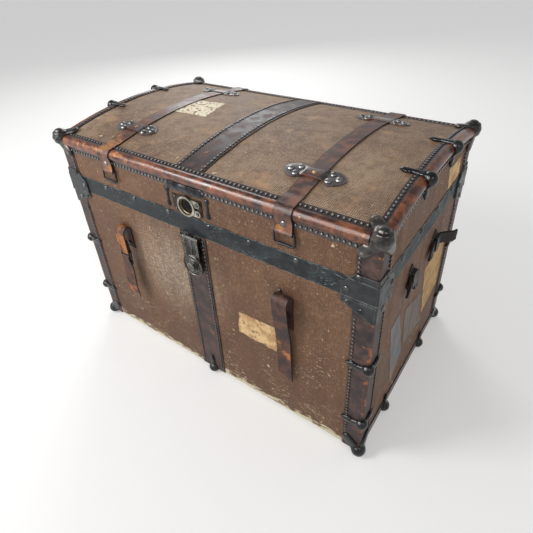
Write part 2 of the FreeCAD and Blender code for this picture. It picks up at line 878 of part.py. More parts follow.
def strap_keepers():
    """Butterfly leather keepers that bridge the lid straps, two on each strap."""
    half = keeper_length / 2
    gap = seat_clearance
    inside = strap_width / 2 + gap
    hump = crown_z + strap_thickness + 2 * gap
    t = leather_thickness
    profile = outline(
        (-half, crown_z),
        [
            (-inside - keeper_slope, crown_z),
            (-inside, hump),
            (inside, hump),
            (inside + keeper_slope, crown_z),
            (half, crown_z),
            (half, crown_z + t),
            (inside + keeper_slope, crown_z + t),
            (inside, hump + t),
            (-inside, hump + t),
            (-inside - keeper_slope, crown_z + t),
            (-half, crown_z + t),
        ],
        on_xz(0),
    )
    saddle = profile.translated(-Y_AXIS * keeper_width).extrude(Y_AXIS * (2 * keeper_width))
    shoulder = half * keeper_shoulder_share
    wing = keeper_width / 2
    waist = keeper_waist / 2
    end = half * keeper_end_share
    end_width = wing * keeper_end_width_share
    quarter = [(inside, waist), (shoulder, wing), (end, end_width)]
    right = [(x, -y) for x, y in quarter] + [(half, 0)] + quarter[::-1]
    left = [(-x, -y) for x, y in right]
    wings = outline(right[0], right[1:] + left, on_xy(edge_z))
    keeper = saddle.common(wings.extrude(Z_AXIS * lid_wall_height))
    tilt = math.degrees(math.asin((canvas_y - keeper_inset) / dome_radius))
    keeper.rotate(Vector(0, 0, dome_axis_z), X_AXIS, tilt)
    keeper.translate(X_AXIS * strap_spread)
    return {"strap_keepers": Part.makeCompound(at_four_corners(keeper))}


def lock_ring():
    """Lock ring with its plate and ears on the lid, the hood over it and the bars beside it."""
    face_y = -canvas_y
    half_plate = ring_plate_height / 2
    plate = bevelled_plate(ring_plate_length / 2, ring_z - half_plate, ring_z + half_plate,
                           ring_plate_bevel, on_xz(face_y), -Y_AXIS * ring_plate_thickness)
    centre = Vector(0, face_y, ring_z)
    ring = bar(ring_radius, centre, centre - Y_AXIS * ring_stand)
    ears = []
    for side in (-1, 1):
        ear = (ring_ear_run, ring_z + side * ring_ear_spread)
        lobe = arc_points(ear, ring_ear_radius, -math.pi / 2, math.pi / 2, ball_sides // 2)
        root = [(0, lobe[-1][1]), (0, lobe[0][1])]
        ears.append(outline(lobe[0], lobe[1:] + root, on_xz(face_y)).extrude(-Y_AXIS * ring_ear_thickness))
    over = Y_AXIS * cut_overrun
    bore = bar(ring_bore_radius, centre + over, centre - Y_AXIS * ring_stand - over)
    lock = plate.fuse([ring] + ears).cut(bore)

    top = edge_z - roll_drop - seat_clearance
    hood = bevelled_plate(hood_length / 2, top - hood_height, top, hood_bevel, on_xz(-leather_y),
                          -Y_AXIS * hood_thickness)

    wide = side_bar_end_radius
    slim = side_bar_half
    reach = side_bar_length / 2
    neck = reach - 2 * wide
    knob = reach - wide
    quarter = [(slim, neck), (wide, knob), (slim, reach)]
    right = [(x, -z) for x, z in quarter[::-1]] + quarter
    points = right + [(-x, -z) for x, z in right]
    place = lambda x, z: Vector(side_bar_spread + x, face_y, ring_z + z)
    side_bar = outline(points[0], points[1:], place).extrude(-Y_AXIS * side_bar_thickness)
    return {
        "lock_ring": lock,
        "lock_hood": hood,
        "lock_side_bars": Part.makeCompound(both_sides(side_bar, X_AXIS)),
    }


def hasp_and_base():
    """Hasp that swings up over the lock ring, its base with the hinge pin, and the key barrel."""
    y = hasp_axis.y
    z = hasp_axis.z
    r = hasp_knuckle_radius
    half = hasp_knuckle_length / 2
    inner = half + hasp_knuckle_gap
    edge = hasp_base_width / 2
    cross = lambda x: Vector(x, y, z)

    top = z + hasp_below_seam - seam_gap
    base = bevelled_plate(edge, top - hasp_base_height, top, hasp_base_bevel, on_xz(-leather_y),
                          -Y_AXIS * hasp_base_thickness)
    ears = [bar(hasp_pin_radius, cross(-edge), cross(edge))]
    for side in (-1, 1):
        x0 = min(side * inner, side * edge)
        x1 = max(side * inner, side * edge)
        ears.append(prism(r, knuckle_sides, cross(x0), X_AXIS * (x1 - x0)))
        ears.append(block(x0, x1, y, -leather_y, z - r, z))
    base = base.fuse(ears).removeSplitter()

    back = y + hasp_thickness
    disc_z = z - hasp_reach
    low = r + hasp_knuckle_gap + seat_clearance
    wide = hasp_width / 2
    disc = Vector(0, back, disc_z)
    out = -Y_AXIS
    disc_top = disc + out * (hasp_thickness + hasp_disc_height)
    boss_top = disc_top + out * hasp_boss_height
    strap = block(-wide, wide, y, back, disc_z, z - low)
    neck = block(-half, half, y, back, z - low, z)
    ribs = []
    rib = hasp_rib_width
    rib_end = disc_z + hasp_disc_radius - rib
    for x in (-wide, -rib / 2, wide - rib):
        ribs.append(block(x, x + rib, y - hasp_rib_height, y, rib_end, z - low))
    hasp = prism(r, knuckle_sides, cross(-half), X_AXIS * hasp_knuckle_length).fuse([strap, neck] + ribs)
    hasp = hasp.fuse([bar(hasp_disc_radius, disc, disc_top), bar(hasp_boss_radius, disc_top, boss_top)])
    over = out * cut_overrun
    reach = X_AXIS * (half + cut_overrun)
    hasp = hasp.cut(bar(barrel_radius + running_clearance, disc - over, boss_top + over))
    hasp = hasp.cut(bar(hasp_pin_radius + running_clearance, cross(0) - reach, cross(0) + reach))

    rear = disc - out * (barrel_play + barrel_head)
    points = ring_points(barrel_head_radius, barrel_head_sides, 0)
    place = lambda a, b: rear + X_AXIS * a + Z_AXIS * b
    head = outline(points[0], points[1:], place).extrude(out * barrel_head)
    barrel = head.fuse(bar(barrel_radius, rear, boss_top + out * barrel_nose))
    slot_x = key_slot_width / 2
    slot_z = key_slot_length / 2
    slot = block(-slot_x, slot_x, rear.y - barrel_head / 2, rear.y + cut_overrun,
                 disc_z - slot_z, disc_z + slot_z)
    return {
        "hasp_base": base,
        "hasp": hasp.removeSplitter(),
        "lock_barrel": barrel.cut(slot).removeSplitter(),
    }


def hinges():
    """Back hinges: a body leaf with two knuckles and the pin, and a lid leaf with one knuckle."""
    r = hinge_knuckle_radius
    half = hinge_length / 2
    inner = hinge_knuckle_length / 2
    gap = hinge_knuckle_gap
    y = lid_axis.y
    z = lid_axis.z
    cross = lambda x: Vector(x, y, z)
    t = hinge_leaf_thickness

    low = seam_z - hinge_leaf_height
    body = bevelled_plate(half, low, z - r, hinge_leaf_bevel, on_xz(canvas_y), Y_AXIS * t)
    pieces = [bar(hinge_pin_radius, cross(-half), cross(half))]
    for side in (-1, 1):
        x0 = min(side * (inner + gap), side * half)
        x1 = max(side * (inner + gap), side * half)
        pieces.append(prism(r, knuckle_sides, cross(x0), X_AXIS * (x1 - x0)))
        pieces.append(block(x0, x1, canvas_y, y, z - r, z - r + hinge_web))
    body = body.fuse(pieces).removeSplitter()

    face = canvas_y + valance_thickness
    flip = lambda x, height: Vector(x, face, 2 * z - height)
    lid = bevelled_plate(half, low, z - r, hinge_leaf_bevel, flip, Y_AXIS * t)
    web = block(-inner, inner, face, y, z + r - hinge_web, z + r)
    lid = lid.fuse([prism(r, knuckle_sides, cross(-inner), X_AXIS * hinge_knuckle_length), web])
    lid = lid.cut(bar(hinge_pin_radius + running_clearance, cross(-half), cross(half)))
    pairs = lambda shape: Part.makeCompound(both_sides(shape.translated(X_AXIS * hinge_x), X_AXIS))
    return {
        "hinge_body_leaves": pairs(body),
        "hinge_lid_leaves": pairs(lid),
    }


def right_body_strap():
    """Right front strap: riveted flat at the back, folded over at the top, its end torn on a slant."""
    t = body_strap_thickness
    wall = -canvas_y
    fold = wall - body_strap_fold_stand
    top = body_strap_top
    bend = (wall + fold) / 2
    radius = body_strap_fold_stand / 2
    low = top - right_strap_back_length
    end = right_strap_end
    half = right_strap_width / 2
    waist = (top + end) / 2
    steps = [
        (wall, top - radius),
        ((bend, top), (fold, top - radius)),
        ((wall - right_strap_middle_stand, waist), (wall - right_strap_end_stand, end)),
    ]
    strap = ribbon((wall, low), steps, on_yz(-half), -t, X_AXIS * right_strap_width)
    slant = outline(
        (-half, end + right_strap_slant),
        [(half, end), (half, end - t), (-half, end - t)],
        on_xz(wall),
    )
    strap = strap.cut(slant.extrude(-Y_AXIS * (2 * body_strap_fold_stand)))
    return {"right_body_strap": strap.translated(X_AXIS * body_strap_spread)}


def left_body_strap():
    """Left front strap: folded at the top round to a wire buckle, whose torn tail hangs from it."""
    t = body_strap_thickness
    wall = -canvas_y
    fold = wall - body_strap_fold_stand
    top = body_strap_top
    radius = body_strap_fold_stand / 2
    half = left_strap_width / 2
    width = X_AXIS * left_strap_width
    shift = -X_AXIS * body_strap_spread
    eye_front = buckle_y - eye_bore_radius - seat_clearance
    eye_wall_radius = eye_bore_radius + t + 2 * seat_clearance
    steps = [
        (wall, top - radius),
        (((wall + fold) / 2, top), (fold, top - radius)),
        (eye_front, buckle_z),
    ]
    strap = ribbon((wall, top - left_strap_back_length), steps, on_yz(-half), -t, width)
    eye = Vector(-half, buckle_y, buckle_z)
    strap = strap.fuse(prism(eye_wall_radius, wire_sides, eye, width))
    strap = strap.cut(prism(eye_bore_radius, wire_sides, eye, width))

    half = tail_width / 2
    width = X_AXIS * tail_width
    hang_y = wall - tail_stand
    steps = [((buckle_y, (tail_hook_z + tail_end) / 2), (hang_y, tail_end))]
    tail = ribbon((eye_front, tail_hook_z), steps, on_yz(-half), -t, width)
    eye = Vector(-half, buckle_y, tail_hook_z)
    tail = tail.fuse(prism(eye_wall_radius + wire_radius / 2, wire_sides, eye, width))
    hole = eye_bore_radius
    lowest = tail_hook_z - hole
    highest = tail_hook_z + hole
    tail = tail.cut(block(-half, half, buckle_y - hole, buckle_y + hole, lowest, highest))
    fork = outline(
        (-tail_fork_width, tail_end - cut_overrun),
        [(0, tail_end + tail_fork), (tail_fork_width, tail_end - cut_overrun)],
        on_xz(wall),
    )
    tail = tail.cut(fork.extrude(-Y_AXIS * (2 * body_strap_fold_stand)))
    buckle = wire_loop(buckle_width, buckle_drop, buckle_bevel,
                       lambda a, b: Vector(a, buckle_y, buckle_z + b))
    return {
        "left_body_strap": strap.translated(shift),
        "left_buckle": buckle.translated(shift),
        "left_strap_tail": tail.translated(shift),
    }


def handle_keepers():
    """Leaf shaped keepers with a bridge, two on each end, that the handle's leather passes through."""
    x = canvas_x
    y = handle_spread
    z = handle_z
    half_y = keeper_plate_width / 2
    half_z = keeper_plate_height / 2
    tip = half_z * (1 - keeper_plate_tip_share)
    leaf = outline(
        (y, z - half_z),
        [
            (y + half_y, z - tip),
            (y + half_y, z + tip),
            (y, z + half_z),
            (y - half_y, z + tip),
            (y - half_y, z - tip),
        ],
        on_yz(x),
    )
    slot_z = handle_width / 2 + seat_clearance
    slot_x = handle_seat + handle_thickness + seat_clearance
    post_z = slot_z + keeper_bridge_wall
    bridge_y = keeper_bridge_width / 2
    bridge = block(x, x + slot_x + keeper_bridge_top, y - bridge_y, y + bridge_y, z - post_z, z + post_z)
    keeper = leaf.extrude(X_AXIS * keeper_plate_thickness).fuse(bridge)
    keeper = keeper.cut(block(x, x + slot_x, y - half_z, y + half_z, z - slot_z, z + slot_z))
    return {"handle_keepers": Part.makeCompound(at_four_corners(keeper))}


def s_bend(start, end):
    """Points along two equal arcs between two flat points, level at both ends."""
    run = end[0] - start[0]
    rise = end[1] - start[1]
    radius = (run ** 2 + rise ** 2) / (4 * abs(rise))
    turn = math.asin(abs(run) / 2 / radius)
    points = []
    for number in range(1, bend_chords + 1):
        angle = turn * number / bend_chords
        along = math.copysign(radius * math.sin(angle), run)
        up = math.copysign(radius * (1 - math.cos(angle)), rise)
        points.append((along, up))
    first = [(start[0] + along, start[1] + up) for along, up in points]
    second = [(end[0] - along, end[1] - up) for along, up in points[-2::-1]]
    return first + second + [end]


def handles():
    """Whole leather handle on the left end, and the torn stubs of the one on the right end."""
    low = handle_z - handle_width / 2
    width = Z_AXIS * handle_width
    seat = canvas_x + handle_seat
    grip = keeper_plate_width / 2
    far = handle_spread + handle_end_length
    near = handle_spread - grip
    place = lambda y, x: Vector(x, y, low)
    bow = canvas_x + handle_bow
    steps = [(-near, seat)] + s_bend((-near, seat), (0, bow))
    steps += s_bend((0, bow), (near, seat)) + [(far, seat)]
    whole = ribbon((-far, seat), steps, place, handle_thickness, width)

    def droop(y, side):
        """Torn leather held in a keeper, hanging beside it in frayed strips."""
        end = y + side * grip
        out = side * stub_droop_width
        foot = handle_z - stub_droop
        top = handle_z + handle_width / 2
        strip = out / stub_strip_count
        frayed = [(end + out, foot + stub_fray)]
        for number in reversed(range(stub_strip_count)):
            frayed.append((end + strip * number + strip / 2, foot))
            frayed.append((end + strip * number, foot + stub_fray))
        bend = (end + out * stub_bend_share, (top + handle_z) / 2)
        steps = [(end, top), (bend, (end + out, handle_z - grip))]
        steps += frayed + [(end, low), (y - side * grip, low)]
        return outline((y - side * grip, top), steps, on_yz(seat)).extrude(X_AXIS * handle_thickness)

    y = handle_spread
    front = droop(-y, 1)
    rear = droop(y, -1)
    steps = [(y + grip, seat)] + s_bend((y + grip, seat), (y + grip + stub_run, seat + stub_reach))
    rear = rear.fuse(ribbon((y, seat), steps, place, handle_thickness, width)).removeSplitter()
    return {
        "left_handle": whole.mirror(ORIGIN, X_AXIS),
        "right_handle_front_stub": front,
        "right_handle_rear_stub": rear,
    }


def build():
    bindings = lid_bindings()
    leathers, lid_leather = corner_leathers(bindings)
    nodes = {}
    nodes.update(body_boards())
    nodes.update(body_skins())
    nodes.update(lid_boards())
    nodes.update(lid_skins())
    nodes.update(bindings)
    nodes.update(leathers)
    nodes.update(bands_and_strips())
    nodes.update(valance())
    nodes.update(seam_brackets())
    nodes.update(corner_bumpers(bindings, lid_leather))
    nodes.update(edge_clamps())
    nodes.update(lid_end_clamps())
    nodes.update(lid_straps())
    nodes.update(strap_loops())
    nodes.update(strap_keepers())
    nodes.update(lock_ring())
    nodes.update(hasp_and_base())
    nodes.update(hinges())
    nodes.update(right_body_strap())
    nodes.update(left_body_strap())
    nodes.update(handle_keepers())
    nodes.update(handles())
    return nodes


os.makedirs("parts", exist_ok=True)
for name, shape in build().items():
    shape.exportStep("parts/" + name + ".step")
    state = "valid" if shape.isValid() else "BAD"
    print(name, len(shape.Solids), "solids", round(shape.Volume), "mm3", state)
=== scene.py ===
import math

import bmesh
import bpy
from mathutils import Matrix, Vector, noise


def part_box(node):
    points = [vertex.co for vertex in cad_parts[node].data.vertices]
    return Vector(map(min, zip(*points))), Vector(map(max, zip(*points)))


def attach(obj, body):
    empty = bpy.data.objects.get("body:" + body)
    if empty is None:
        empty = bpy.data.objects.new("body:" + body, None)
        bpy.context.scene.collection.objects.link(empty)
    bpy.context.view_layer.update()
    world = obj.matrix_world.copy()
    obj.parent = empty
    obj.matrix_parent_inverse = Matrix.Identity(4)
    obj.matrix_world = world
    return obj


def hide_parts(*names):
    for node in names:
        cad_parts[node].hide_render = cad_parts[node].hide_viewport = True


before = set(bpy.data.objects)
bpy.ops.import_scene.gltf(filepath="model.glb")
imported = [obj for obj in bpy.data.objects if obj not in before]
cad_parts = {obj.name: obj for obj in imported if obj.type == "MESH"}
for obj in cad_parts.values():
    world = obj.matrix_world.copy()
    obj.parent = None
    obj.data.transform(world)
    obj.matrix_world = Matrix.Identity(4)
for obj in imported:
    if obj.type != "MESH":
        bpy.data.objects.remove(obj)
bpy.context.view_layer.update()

# Camera, floor and light: the trunk stands on a plain pale floor under soft studio light. The camera
# looks down on the front and the right end, tilted a little, as the picture was taken.
scene = bpy.context.scene
scene.view_settings.view_transform = "Standard"


def add_object(name, data):
    """New object in the scene."""
    thing = bpy.data.objects.new(name, data)
    scene.collection.objects.link(thing)
    return thing


camera_place = Vector((0.6185, -0.8067, 1.0022))
camera_round, camera_above, camera_tilt = map(math.radians, (37.28, 33.53, -3.42))
level = Vector((math.cos(camera_round), math.sin(camera_round), 0))
toward = Vector((math.sin(camera_round), -math.cos(camera_round), 0)) * math.cos(camera_above)
toward.z = math.sin(camera_above)
turned = Matrix((level, toward.cross(level), toward)).transposed() @ Matrix.Rotation(camera_tilt, 3, "Z")
camera = add_object("camera", bpy.data.cameras.new("camera"))
camera.matrix_world = Matrix.Translation(camera_place) @ turned.to_4x4()
camera.data.sensor_width = 36
camera.data.lens = 29.91
camera.data.shift_x = 0.0029
camera.data.shift_y = -0.0761
scene.camera = camera


def paint(red, green, blue):
    """Colour for a shader from its three screen values, 0 to 255."""
    parts = [part / 255 for part in (red, green, blue)]
    return [part / 12.92 if part < 0.04 else ((part + 0.055) / 1.055) ** 2.4 for part in parts] + [1]


def new_material(name, sockets):
    """New material and its main shader, with values set on the shader's own sockets."""
    material = bpy.data.materials.new(name)
    material.use_nodes = True
    shader = material.node_tree.nodes["Principled BSDF"]
    for socket, value in sockets.items():
        shader.inputs[socket].default_value = value
    return material, shader


def add_node(tree, kind, feeds=None, **settings):
    """Adds a shader node, sets its properties, and feeds its sockets with values or other nodes' outputs."""
    node = tree.nodes.new("ShaderNode" + kind)
    for key, value in settings.items():
        setattr(node, key, value)
    for key, value in (feeds or {}).items():
        if isinstance(value, bpy.types.NodeSocket):
            tree.links.new(value, node.inputs[key])
        else:
            node.inputs[key].default_value = value
    return node


def axes_of(place):
    """Parts of a place or direction along each axis. A socket's id_data is the tree that it is in."""
    return add_node(place.id_data, "SeparateXYZ", {"Vector": place}).outputs


floor_reach = 30
floor_mesh = bpy.data.meshes.new("floor")
corners = [(x * floor_reach, y * floor_reach, 0) for x, y in ((-1, -1), (1, -1), (1, 1), (-1, 1))]
floor_mesh.from_pydata(corners, [], [(0, 1, 2, 3)])
floor_glow = {"Emission Color": paint(255, 255, 255), "Emission Strength": 0.26}
floor_sockets = {"Roughness": 0.9, "Base Color": paint(236, 235, 233), **floor_glow}
floor_mesh.materials.append(new_material("pale floor", floor_sockets)[0])
floor = add_object("floor", floor_mesh)

world = bpy.data.worlds.new("studio")
world.use_nodes = True
sky = world.node_tree
sky_height = axes_of(add_node(sky, "TexCoord").outputs["Generated"])["Z"]
dimmed = {"Value": sky_height, "From Min": 0.05, "From Max": 0.75, "To Min": 0.8, "To Max": 0.31}
background = sky.nodes["Background"].inputs
sky.links.new(add_node(sky, "MapRange", dimmed).outputs["Result"], background["Strength"])
background["Color"].default_value = paint(252, 253, 255)
scene.world = world

lamp_aim = Vector((0, 0, 0.35))
for lamp_name, place, across, power, only_shine in (
    ("window at the left", (-1.7, -1.9, 2.0), 0.9, 44, False),
    ("window behind the lid", (-2.0, 2.2, 1.9), 1.3, 28, False),
    ("lamp at the right", (1.9, -1.3, 2.1), 0.8, 9, False),
    ("soft box for the shine", (-0.45, -1.5, 1.45), 1.5, 46, True),
):
    lamp = add_object(lamp_name, bpy.data.lights.new(lamp_name, "AREA"))
    lamp.data.size = across
    lamp.data.energy = power
    lamp.visible_diffuse = not only_shine
    lamp.location = place
    lamp.rotation_euler = (lamp_aim - Vector(place)).to_track_quat("-Z", "Y").to_euler()

# Boards of the case and the lid: thin softwood planks nailed into a box and a lid, with the top plank bent
# to the dome. They show as old bare wood at the seam and under the bottom, darker along the grain.
def place_of(tree):
    """Place on the piece in metres."""
    return add_node(tree, "TexCoord").outputs["Object"]


def stretch(place, scale, turn=(0, 0, 0)):
    """Place scaled along each axis and then turned."""
    feeds = {"Vector": place, "Scale": scale, "Rotation": turn}
    return add_node(place.id_data, "Mapping", feeds).outputs["Vector"]


def speckle(place, scale, detail=4):
    """Cloudy noise from 0 to 1 at a scale per metre."""
    feeds = {"Vector": place, "Scale": scale, "Detail": detail, "Roughness": 0.6}
    return add_node(place.id_data, "TexNoise", feeds).outputs["Fac"]


def ramp(value, low, high):
    """Smooth step from 0 at low to 1 at high, or the other way round where low is above high."""
    feeds = {"Value": value, "From Min": low, "From Max": high}
    return add_node(value.id_data, "MapRange", feeds, interpolation_type="SMOOTHSTEP").outputs["Result"]


def patches(place, scale, low, high, detail=4):
    """Mask of the patches where the noise at a scale rises from low to high."""
    return ramp(speckle(place, scale, detail), low, high)


def reckon(operation, *values):
    """Values put together two at a time by Math nodes. At least one of them is a node's output."""
    tree = next(value.id_data for value in values if isinstance(value, bpy.types.NodeSocket))
    total = values[0]
    for value in values[1:]:
        total = add_node(tree, "Math", {0: total, 1: value}, operation=operation).outputs["Value"]
    return total


def times(*values):
    """Product of values."""
    return reckon("MULTIPLY", *values)


def plus(*values):
    """Sum of values."""
    return reckon("ADD", *values)


def greatest(*values):
    """Greatest of values at each spot."""
    return reckon("MAXIMUM", *values)


def lay_over(mask, under, over):
    """Colour over another where the mask is 1. A colour is a node's output or three screen values."""
    under, over = [paint(*colour) if isinstance(colour, tuple) else colour for colour in (under, over)]
    return add_node(mask.id_data, "Mix", {0: mask, 6: under, 7: over}, data_type="RGBA").outputs[2]


def feed(shader, colour, gloss=None, bumps=None):
    """Feeds a shader its colour, its roughness, and its bumps as a height, a strength and a depth."""
    tree = shader.id_data
    tree.links.new(colour, shader.inputs["Base Color"])
    if gloss:
        tree.links.new(gloss, shader.inputs["Roughness"])
    if bumps:
        feeds = dict(zip(("Height", "Strength", "Distance"), bumps))
        tree.links.new(add_node(tree, "Bump", feeds).outputs["Normal"], shader.inputs["Normal"])


def dress(material, *nodes):
    """Gives a finish to pieces whose own shape is kept."""
    for name in nodes:
        for material_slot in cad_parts[name].material_slots:
            material_slot.material = material


def new_group(name, inlets, outlets):
    """New node group with its inlets and outlets, seen from inside. An inlet with no value is a place."""
    group = bpy.data.node_groups.new(name, "ShaderNodeTree")
    for inlet, value in inlets.items():
        kind = "NodeSocketVector" if value is None else "NodeSocketFloat"
        socket = group.interface.new_socket(name=inlet, in_out="INPUT", socket_type=kind)
        if value is not None:
            socket.default_value = value
    for outlet in outlets:
        group.interface.new_socket(name=outlet, in_out="OUTPUT", socket_type="NodeSocketFloat")
    return group, group.nodes.new("NodeGroupInput").outputs, group.nodes.new("NodeGroupOutput").inputs


def put_out(outlets, **values):
    """Feeds a group's outlets."""
    for name, value in values.items():
        value.id_data.links.new(value, outlets[name])


def use(group, place, **values):
    """Outlets of a node group that is fed with a place and values."""
    return add_node(place.id_data, "Group", {"Place": place, **values}, node_tree=group).outputs


planks, planks_in, planks_out = new_group(
    "planks", {"Place": None, "Along": None}, ("Grain", "Dark", "Stains")
)
plank_grain = speckle(planks_in["Along"], 1)
plank_stains = patches(planks_in["Place"], 9, 0.5, 0.8)
put_out(planks_out, Grain=plank_grain, Dark=ramp(plank_grain, 0.35, 0.7), Stains=plank_stains)


def plank_finish(name, grain_scale):
    """Softwood that is darker along the grain and in stains."""
    material, shader = new_material(name, {"Roughness": 0.75})
    place = place_of(shader.id_data)
    plank = use(planks, place, Along=stretch(place, grain_scale))
    wood = lay_over(plank["Dark"], (150, 112, 74), (104, 72, 46))
    wood = lay_over(plank["Stains"], wood, (86, 66, 50))
    feed(shader, wood, bumps=(plank["Grain"], 0.4, 0.0005))
    return material


along_grain, across_grain = 12, 220
long_planks = "front_board", "back_board", "bottom_board", "dome_board", "lid_front_board", "lid_back_board"
end_planks = "right_end_board", "left_end_board", "lid_right_end_board", "lid_left_end_board"
dress(plank_finish("long plank", (along_grain, across_grain, across_grain)), *long_planks)
dress(plank_finish("end plank", (across_grain, along_grain, across_grain)), *end_planks)

# Linings: cream paper pasted inside the body and the lid, with faded narrow stripes. It has gone brown
# in blotches.
stripe_pitch = 0.018


def lining_finish():
    """Striped paper."""
    material, shader = new_material("lining paper", {"Roughness": 0.85})
    place = place_of(shader.id_data)
    axes = axes_of(place)
    stripe_turn = times(plus(axes["X"], axes["Y"]), 2 * math.pi / stripe_pitch)
    stripes = ramp(reckon("SINE", stripe_turn, 0), 0.55, 0.8)
    stripes = times(stripes, patches(place, 14, 0.4, 0.7))
    colour = lay_over(stripes, (202, 186, 152), (150, 132, 112))
    colour = lay_over(patches(place, 7, 0.52, 0.75, detail=6), colour, (146, 116, 80))
    feed(shader, colour, bumps=(speckle(place, 60), 0.25, 0.0006))
    return material


dress(lining_finish(), "body_lining", "lid_lining")

# Canvas: one painted cotton sheet glued round the body, one round the lid's walls and one over the dome.
# Its weave shows through the paint, with painted shade in the gaps between its threads. Pale scratches run
# over it, the foot is rubbed to bare cream thread, and it is darker towards the bottom. Light has greyed the
# dome, which is also painted lighter than the walls as painted light on the top, and a pale painted sheen
# lies on the front near the lock.
def choose(mask, first, second):
    """First value where the mask is 0, second where it is 1."""
    return add_node(mask.id_data, "Mix", {0: mask, 2: first, 3: second}).outputs[0]


def facing(tree, axis):
    """Mask of the faces that look along an axis of the piece."""
    part = axes_of(add_node(tree, "TexCoord").outputs["Normal"])[axis]
    return ramp(reckon("ABSOLUTE", part, 0), 0.6, 0.75)


weave, weave_in, weave_out = new_group("weave", {"Place": None, "Pitch": 0.002}, ("Height", "Tone"))
weave_axes = axes_of(weave_in["Place"])
weave_side = choose(facing(weave, "X"), weave_axes["X"], weave_axes["Y"])
weave_rise = choose(facing(weave, "Z"), weave_axes["Z"], weave_axes["Y"])
thread_turn = reckon("DIVIDE", 2 * math.pi, weave_in["Pitch"])
thread_wander = times(speckle(weave_in["Place"], 60), 4)
threads = []
for run in (weave_side, weave_rise):
    threads.append(reckon("SINE", plus(times(run, thread_turn), thread_wander), 0))
flat_place = add_node(weave, "CombineXYZ", {"X": weave_side, "Y": weave_rise}).outputs["Vector"]
slubs = [speckle(stretch(flat_place, scale), 1, detail=2) for scale in ((300, 70, 1), (70, 300, 1))]
put_out(weave_out, Height=plus(*threads), Tone=greatest(*slubs))

scratch, scratch_in, scratch_out = new_group("scratches", {"Place": None, "Share": 0.2}, ("Mask",))
sway_feeds = {"Vector": scratch_in["Place"], "Scale": 9, "Detail": 1}
sway_feeds = {0: add_node(scratch, "TexNoise", sway_feeds).outputs["Color"], 1: (0.09, 0.09, 0.09)}
sway_feeds[2] = scratch_in["Place"]
scratch_place = add_node(scratch, "VectorMath", sway_feeds, operation="MULTIPLY_ADD").outputs["Vector"]
scratch_bar = reckon("SUBTRACT", 0.84, times(scratch_in["Share"], 0.3))
strokes = []
for tilt, length, width in ((0.5, 20, 380), (-0.9, 34, 440), (1.45, 11, 480)):
    stroke = speckle(stretch(scratch_place, (length, width, width), (0.3, tilt, tilt)), 1, detail=2)
    strokes.append(ramp(stroke, scratch_bar, plus(scratch_bar, 0.03)))
scratch_patches = patches(scratch_in["Place"], 11, 0.42, 0.62)
put_out(scratch_out, Mask=times(greatest(*strokes), scratch_patches))

thread_pitch = 0.0036
# Middle of the painted sheen on the front, near the lock.
sheen_spot = -0.09, -0.262, 0.31


def canvas_finish():
    """Painted canvas, from its ground colours up through painted sheen, painted shade, stains and wear to the
    bare foot.
    """
    material, shader = new_material("painted canvas", {"Specular IOR Level": 0.25})
    tree = shader.id_data
    place = place_of(tree)
    height = axes_of(place)["Z"]
    cloth = use(weave, place, Pitch=thread_pitch)
    on_dome = facing(tree, "Z")
    clouds = patches(place, 7, 0.35, 0.7, detail=6)
    walls = lay_over(clouds, (108, 74, 51), (130, 94, 67))
    # The dome is greyer and much lighter than the walls: greyed by light, and painted lighter as painted
    # light falling on the top.
    colour = lay_over(on_dome, walls, lay_over(clouds, (150, 120, 95), (200, 171, 142)))
    # Painted sheen: a pale patch near the lock, palest on the lighter threads as painted glints, stands in
    # for light reflected off the front.
    away = add_node(tree, "VectorMath", {0: place, 1: sheen_spot}, operation="DISTANCE").outputs["Value"]
    painted_glints = choose(ramp(cloth["Tone"], 0.46, 0.62), 0.3, 1)
    painted_sheen = times(ramp(away, 0.2, 0.03), painted_glints, 0.8)
    pale_thread = times(ramp(cloth["Tone"], 0.53, 0.72), choose(on_dome, 0.3, 0.9))
    specks = times(patches(place, 380, 0.5, 0.32, detail=2), 0.5)
    # Painted shade: the gaps between the weave's threads are darkened where shade would fall in them.
    between = times(ramp(cloth["Height"], 0.5, -1.3), choose(on_dome, 0.4, 0.75))
    stains = patches(stretch(place, (38, 38, 6)), 1, 0.42, 0.7, detail=6)
    stains = times(stains, choose(facing(tree, "X"), 0.4, 0.8))
    bleached = times(patches(place, 16, 0.54, 0.74, detail=6), choose(on_dome, 0.15, 0.8))
    low_down = ramp(height, 0.34, 0.1)
    # Darker towards the bottom of the walls.
    darker_towards_bottom = times(low_down, 0.5)
    scratches = use(scratch, place, Share=choose(low_down, 0.36, 0.61))["Mask"]
    chips = greatest(patches(place, 62, 0.66, 0.69, 5), patches(place, 130, 0.695, 0.72, 3))
    chips = times(chips, patches(place, 5, 0.45, 0.57, detail=3))
    fray = times(speckle(stretch(place, (34, 34, 90)), 1, detail=8), 0.09)
    rubbed_foot = ramp(plus(height, fray), 0.075, 0.062)
    for mask, over in (
        (painted_sheen, (198, 179, 157)),
        (pale_thread, (198, 172, 144)),
        (specks, (62, 44, 34)),
        (between, (62, 46, 36)),
        (stains, (82, 58, 43)),
        (bleached, (190, 150, 112)),
        (darker_towards_bottom, (88, 61, 44)),
        (greatest(scratches, chips), (214, 192, 154)),
        (rubbed_foot, (206, 196, 164)),
    ):
        colour = lay_over(mask, colour, over)
    feed(shader, colour, choose(clouds, 0.5, 0.68), (cloth["Height"], 0.45, 0.0004))
    return material


def add_piece(name, mesh, material, body, slot, *stands_for):
    """New piece that rides on a body, takes a finish and may stand for solids. Its slot is not used."""
    data = bpy.data.meshes.new(name)
    mesh.to_mesh(data)
    mesh.free()
    data.materials.append(material)
    piece = add_object(name, data)
    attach(piece, body)
    if stands_for:
        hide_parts(*stands_for)
    return piece


def steps(first, last, count):
    """Evenly spread values, both ends included."""
    return [first + (last - first) * number / count for number in range(count + 1)]


def open_mesh(mesh):
    """The mesh, or a new one, and its layer of how worn each point is."""
    mesh = mesh or bmesh.new()
    return mesh, mesh.verts.layers.float.get("rub") or mesh.verts.layers.float.new("rub")


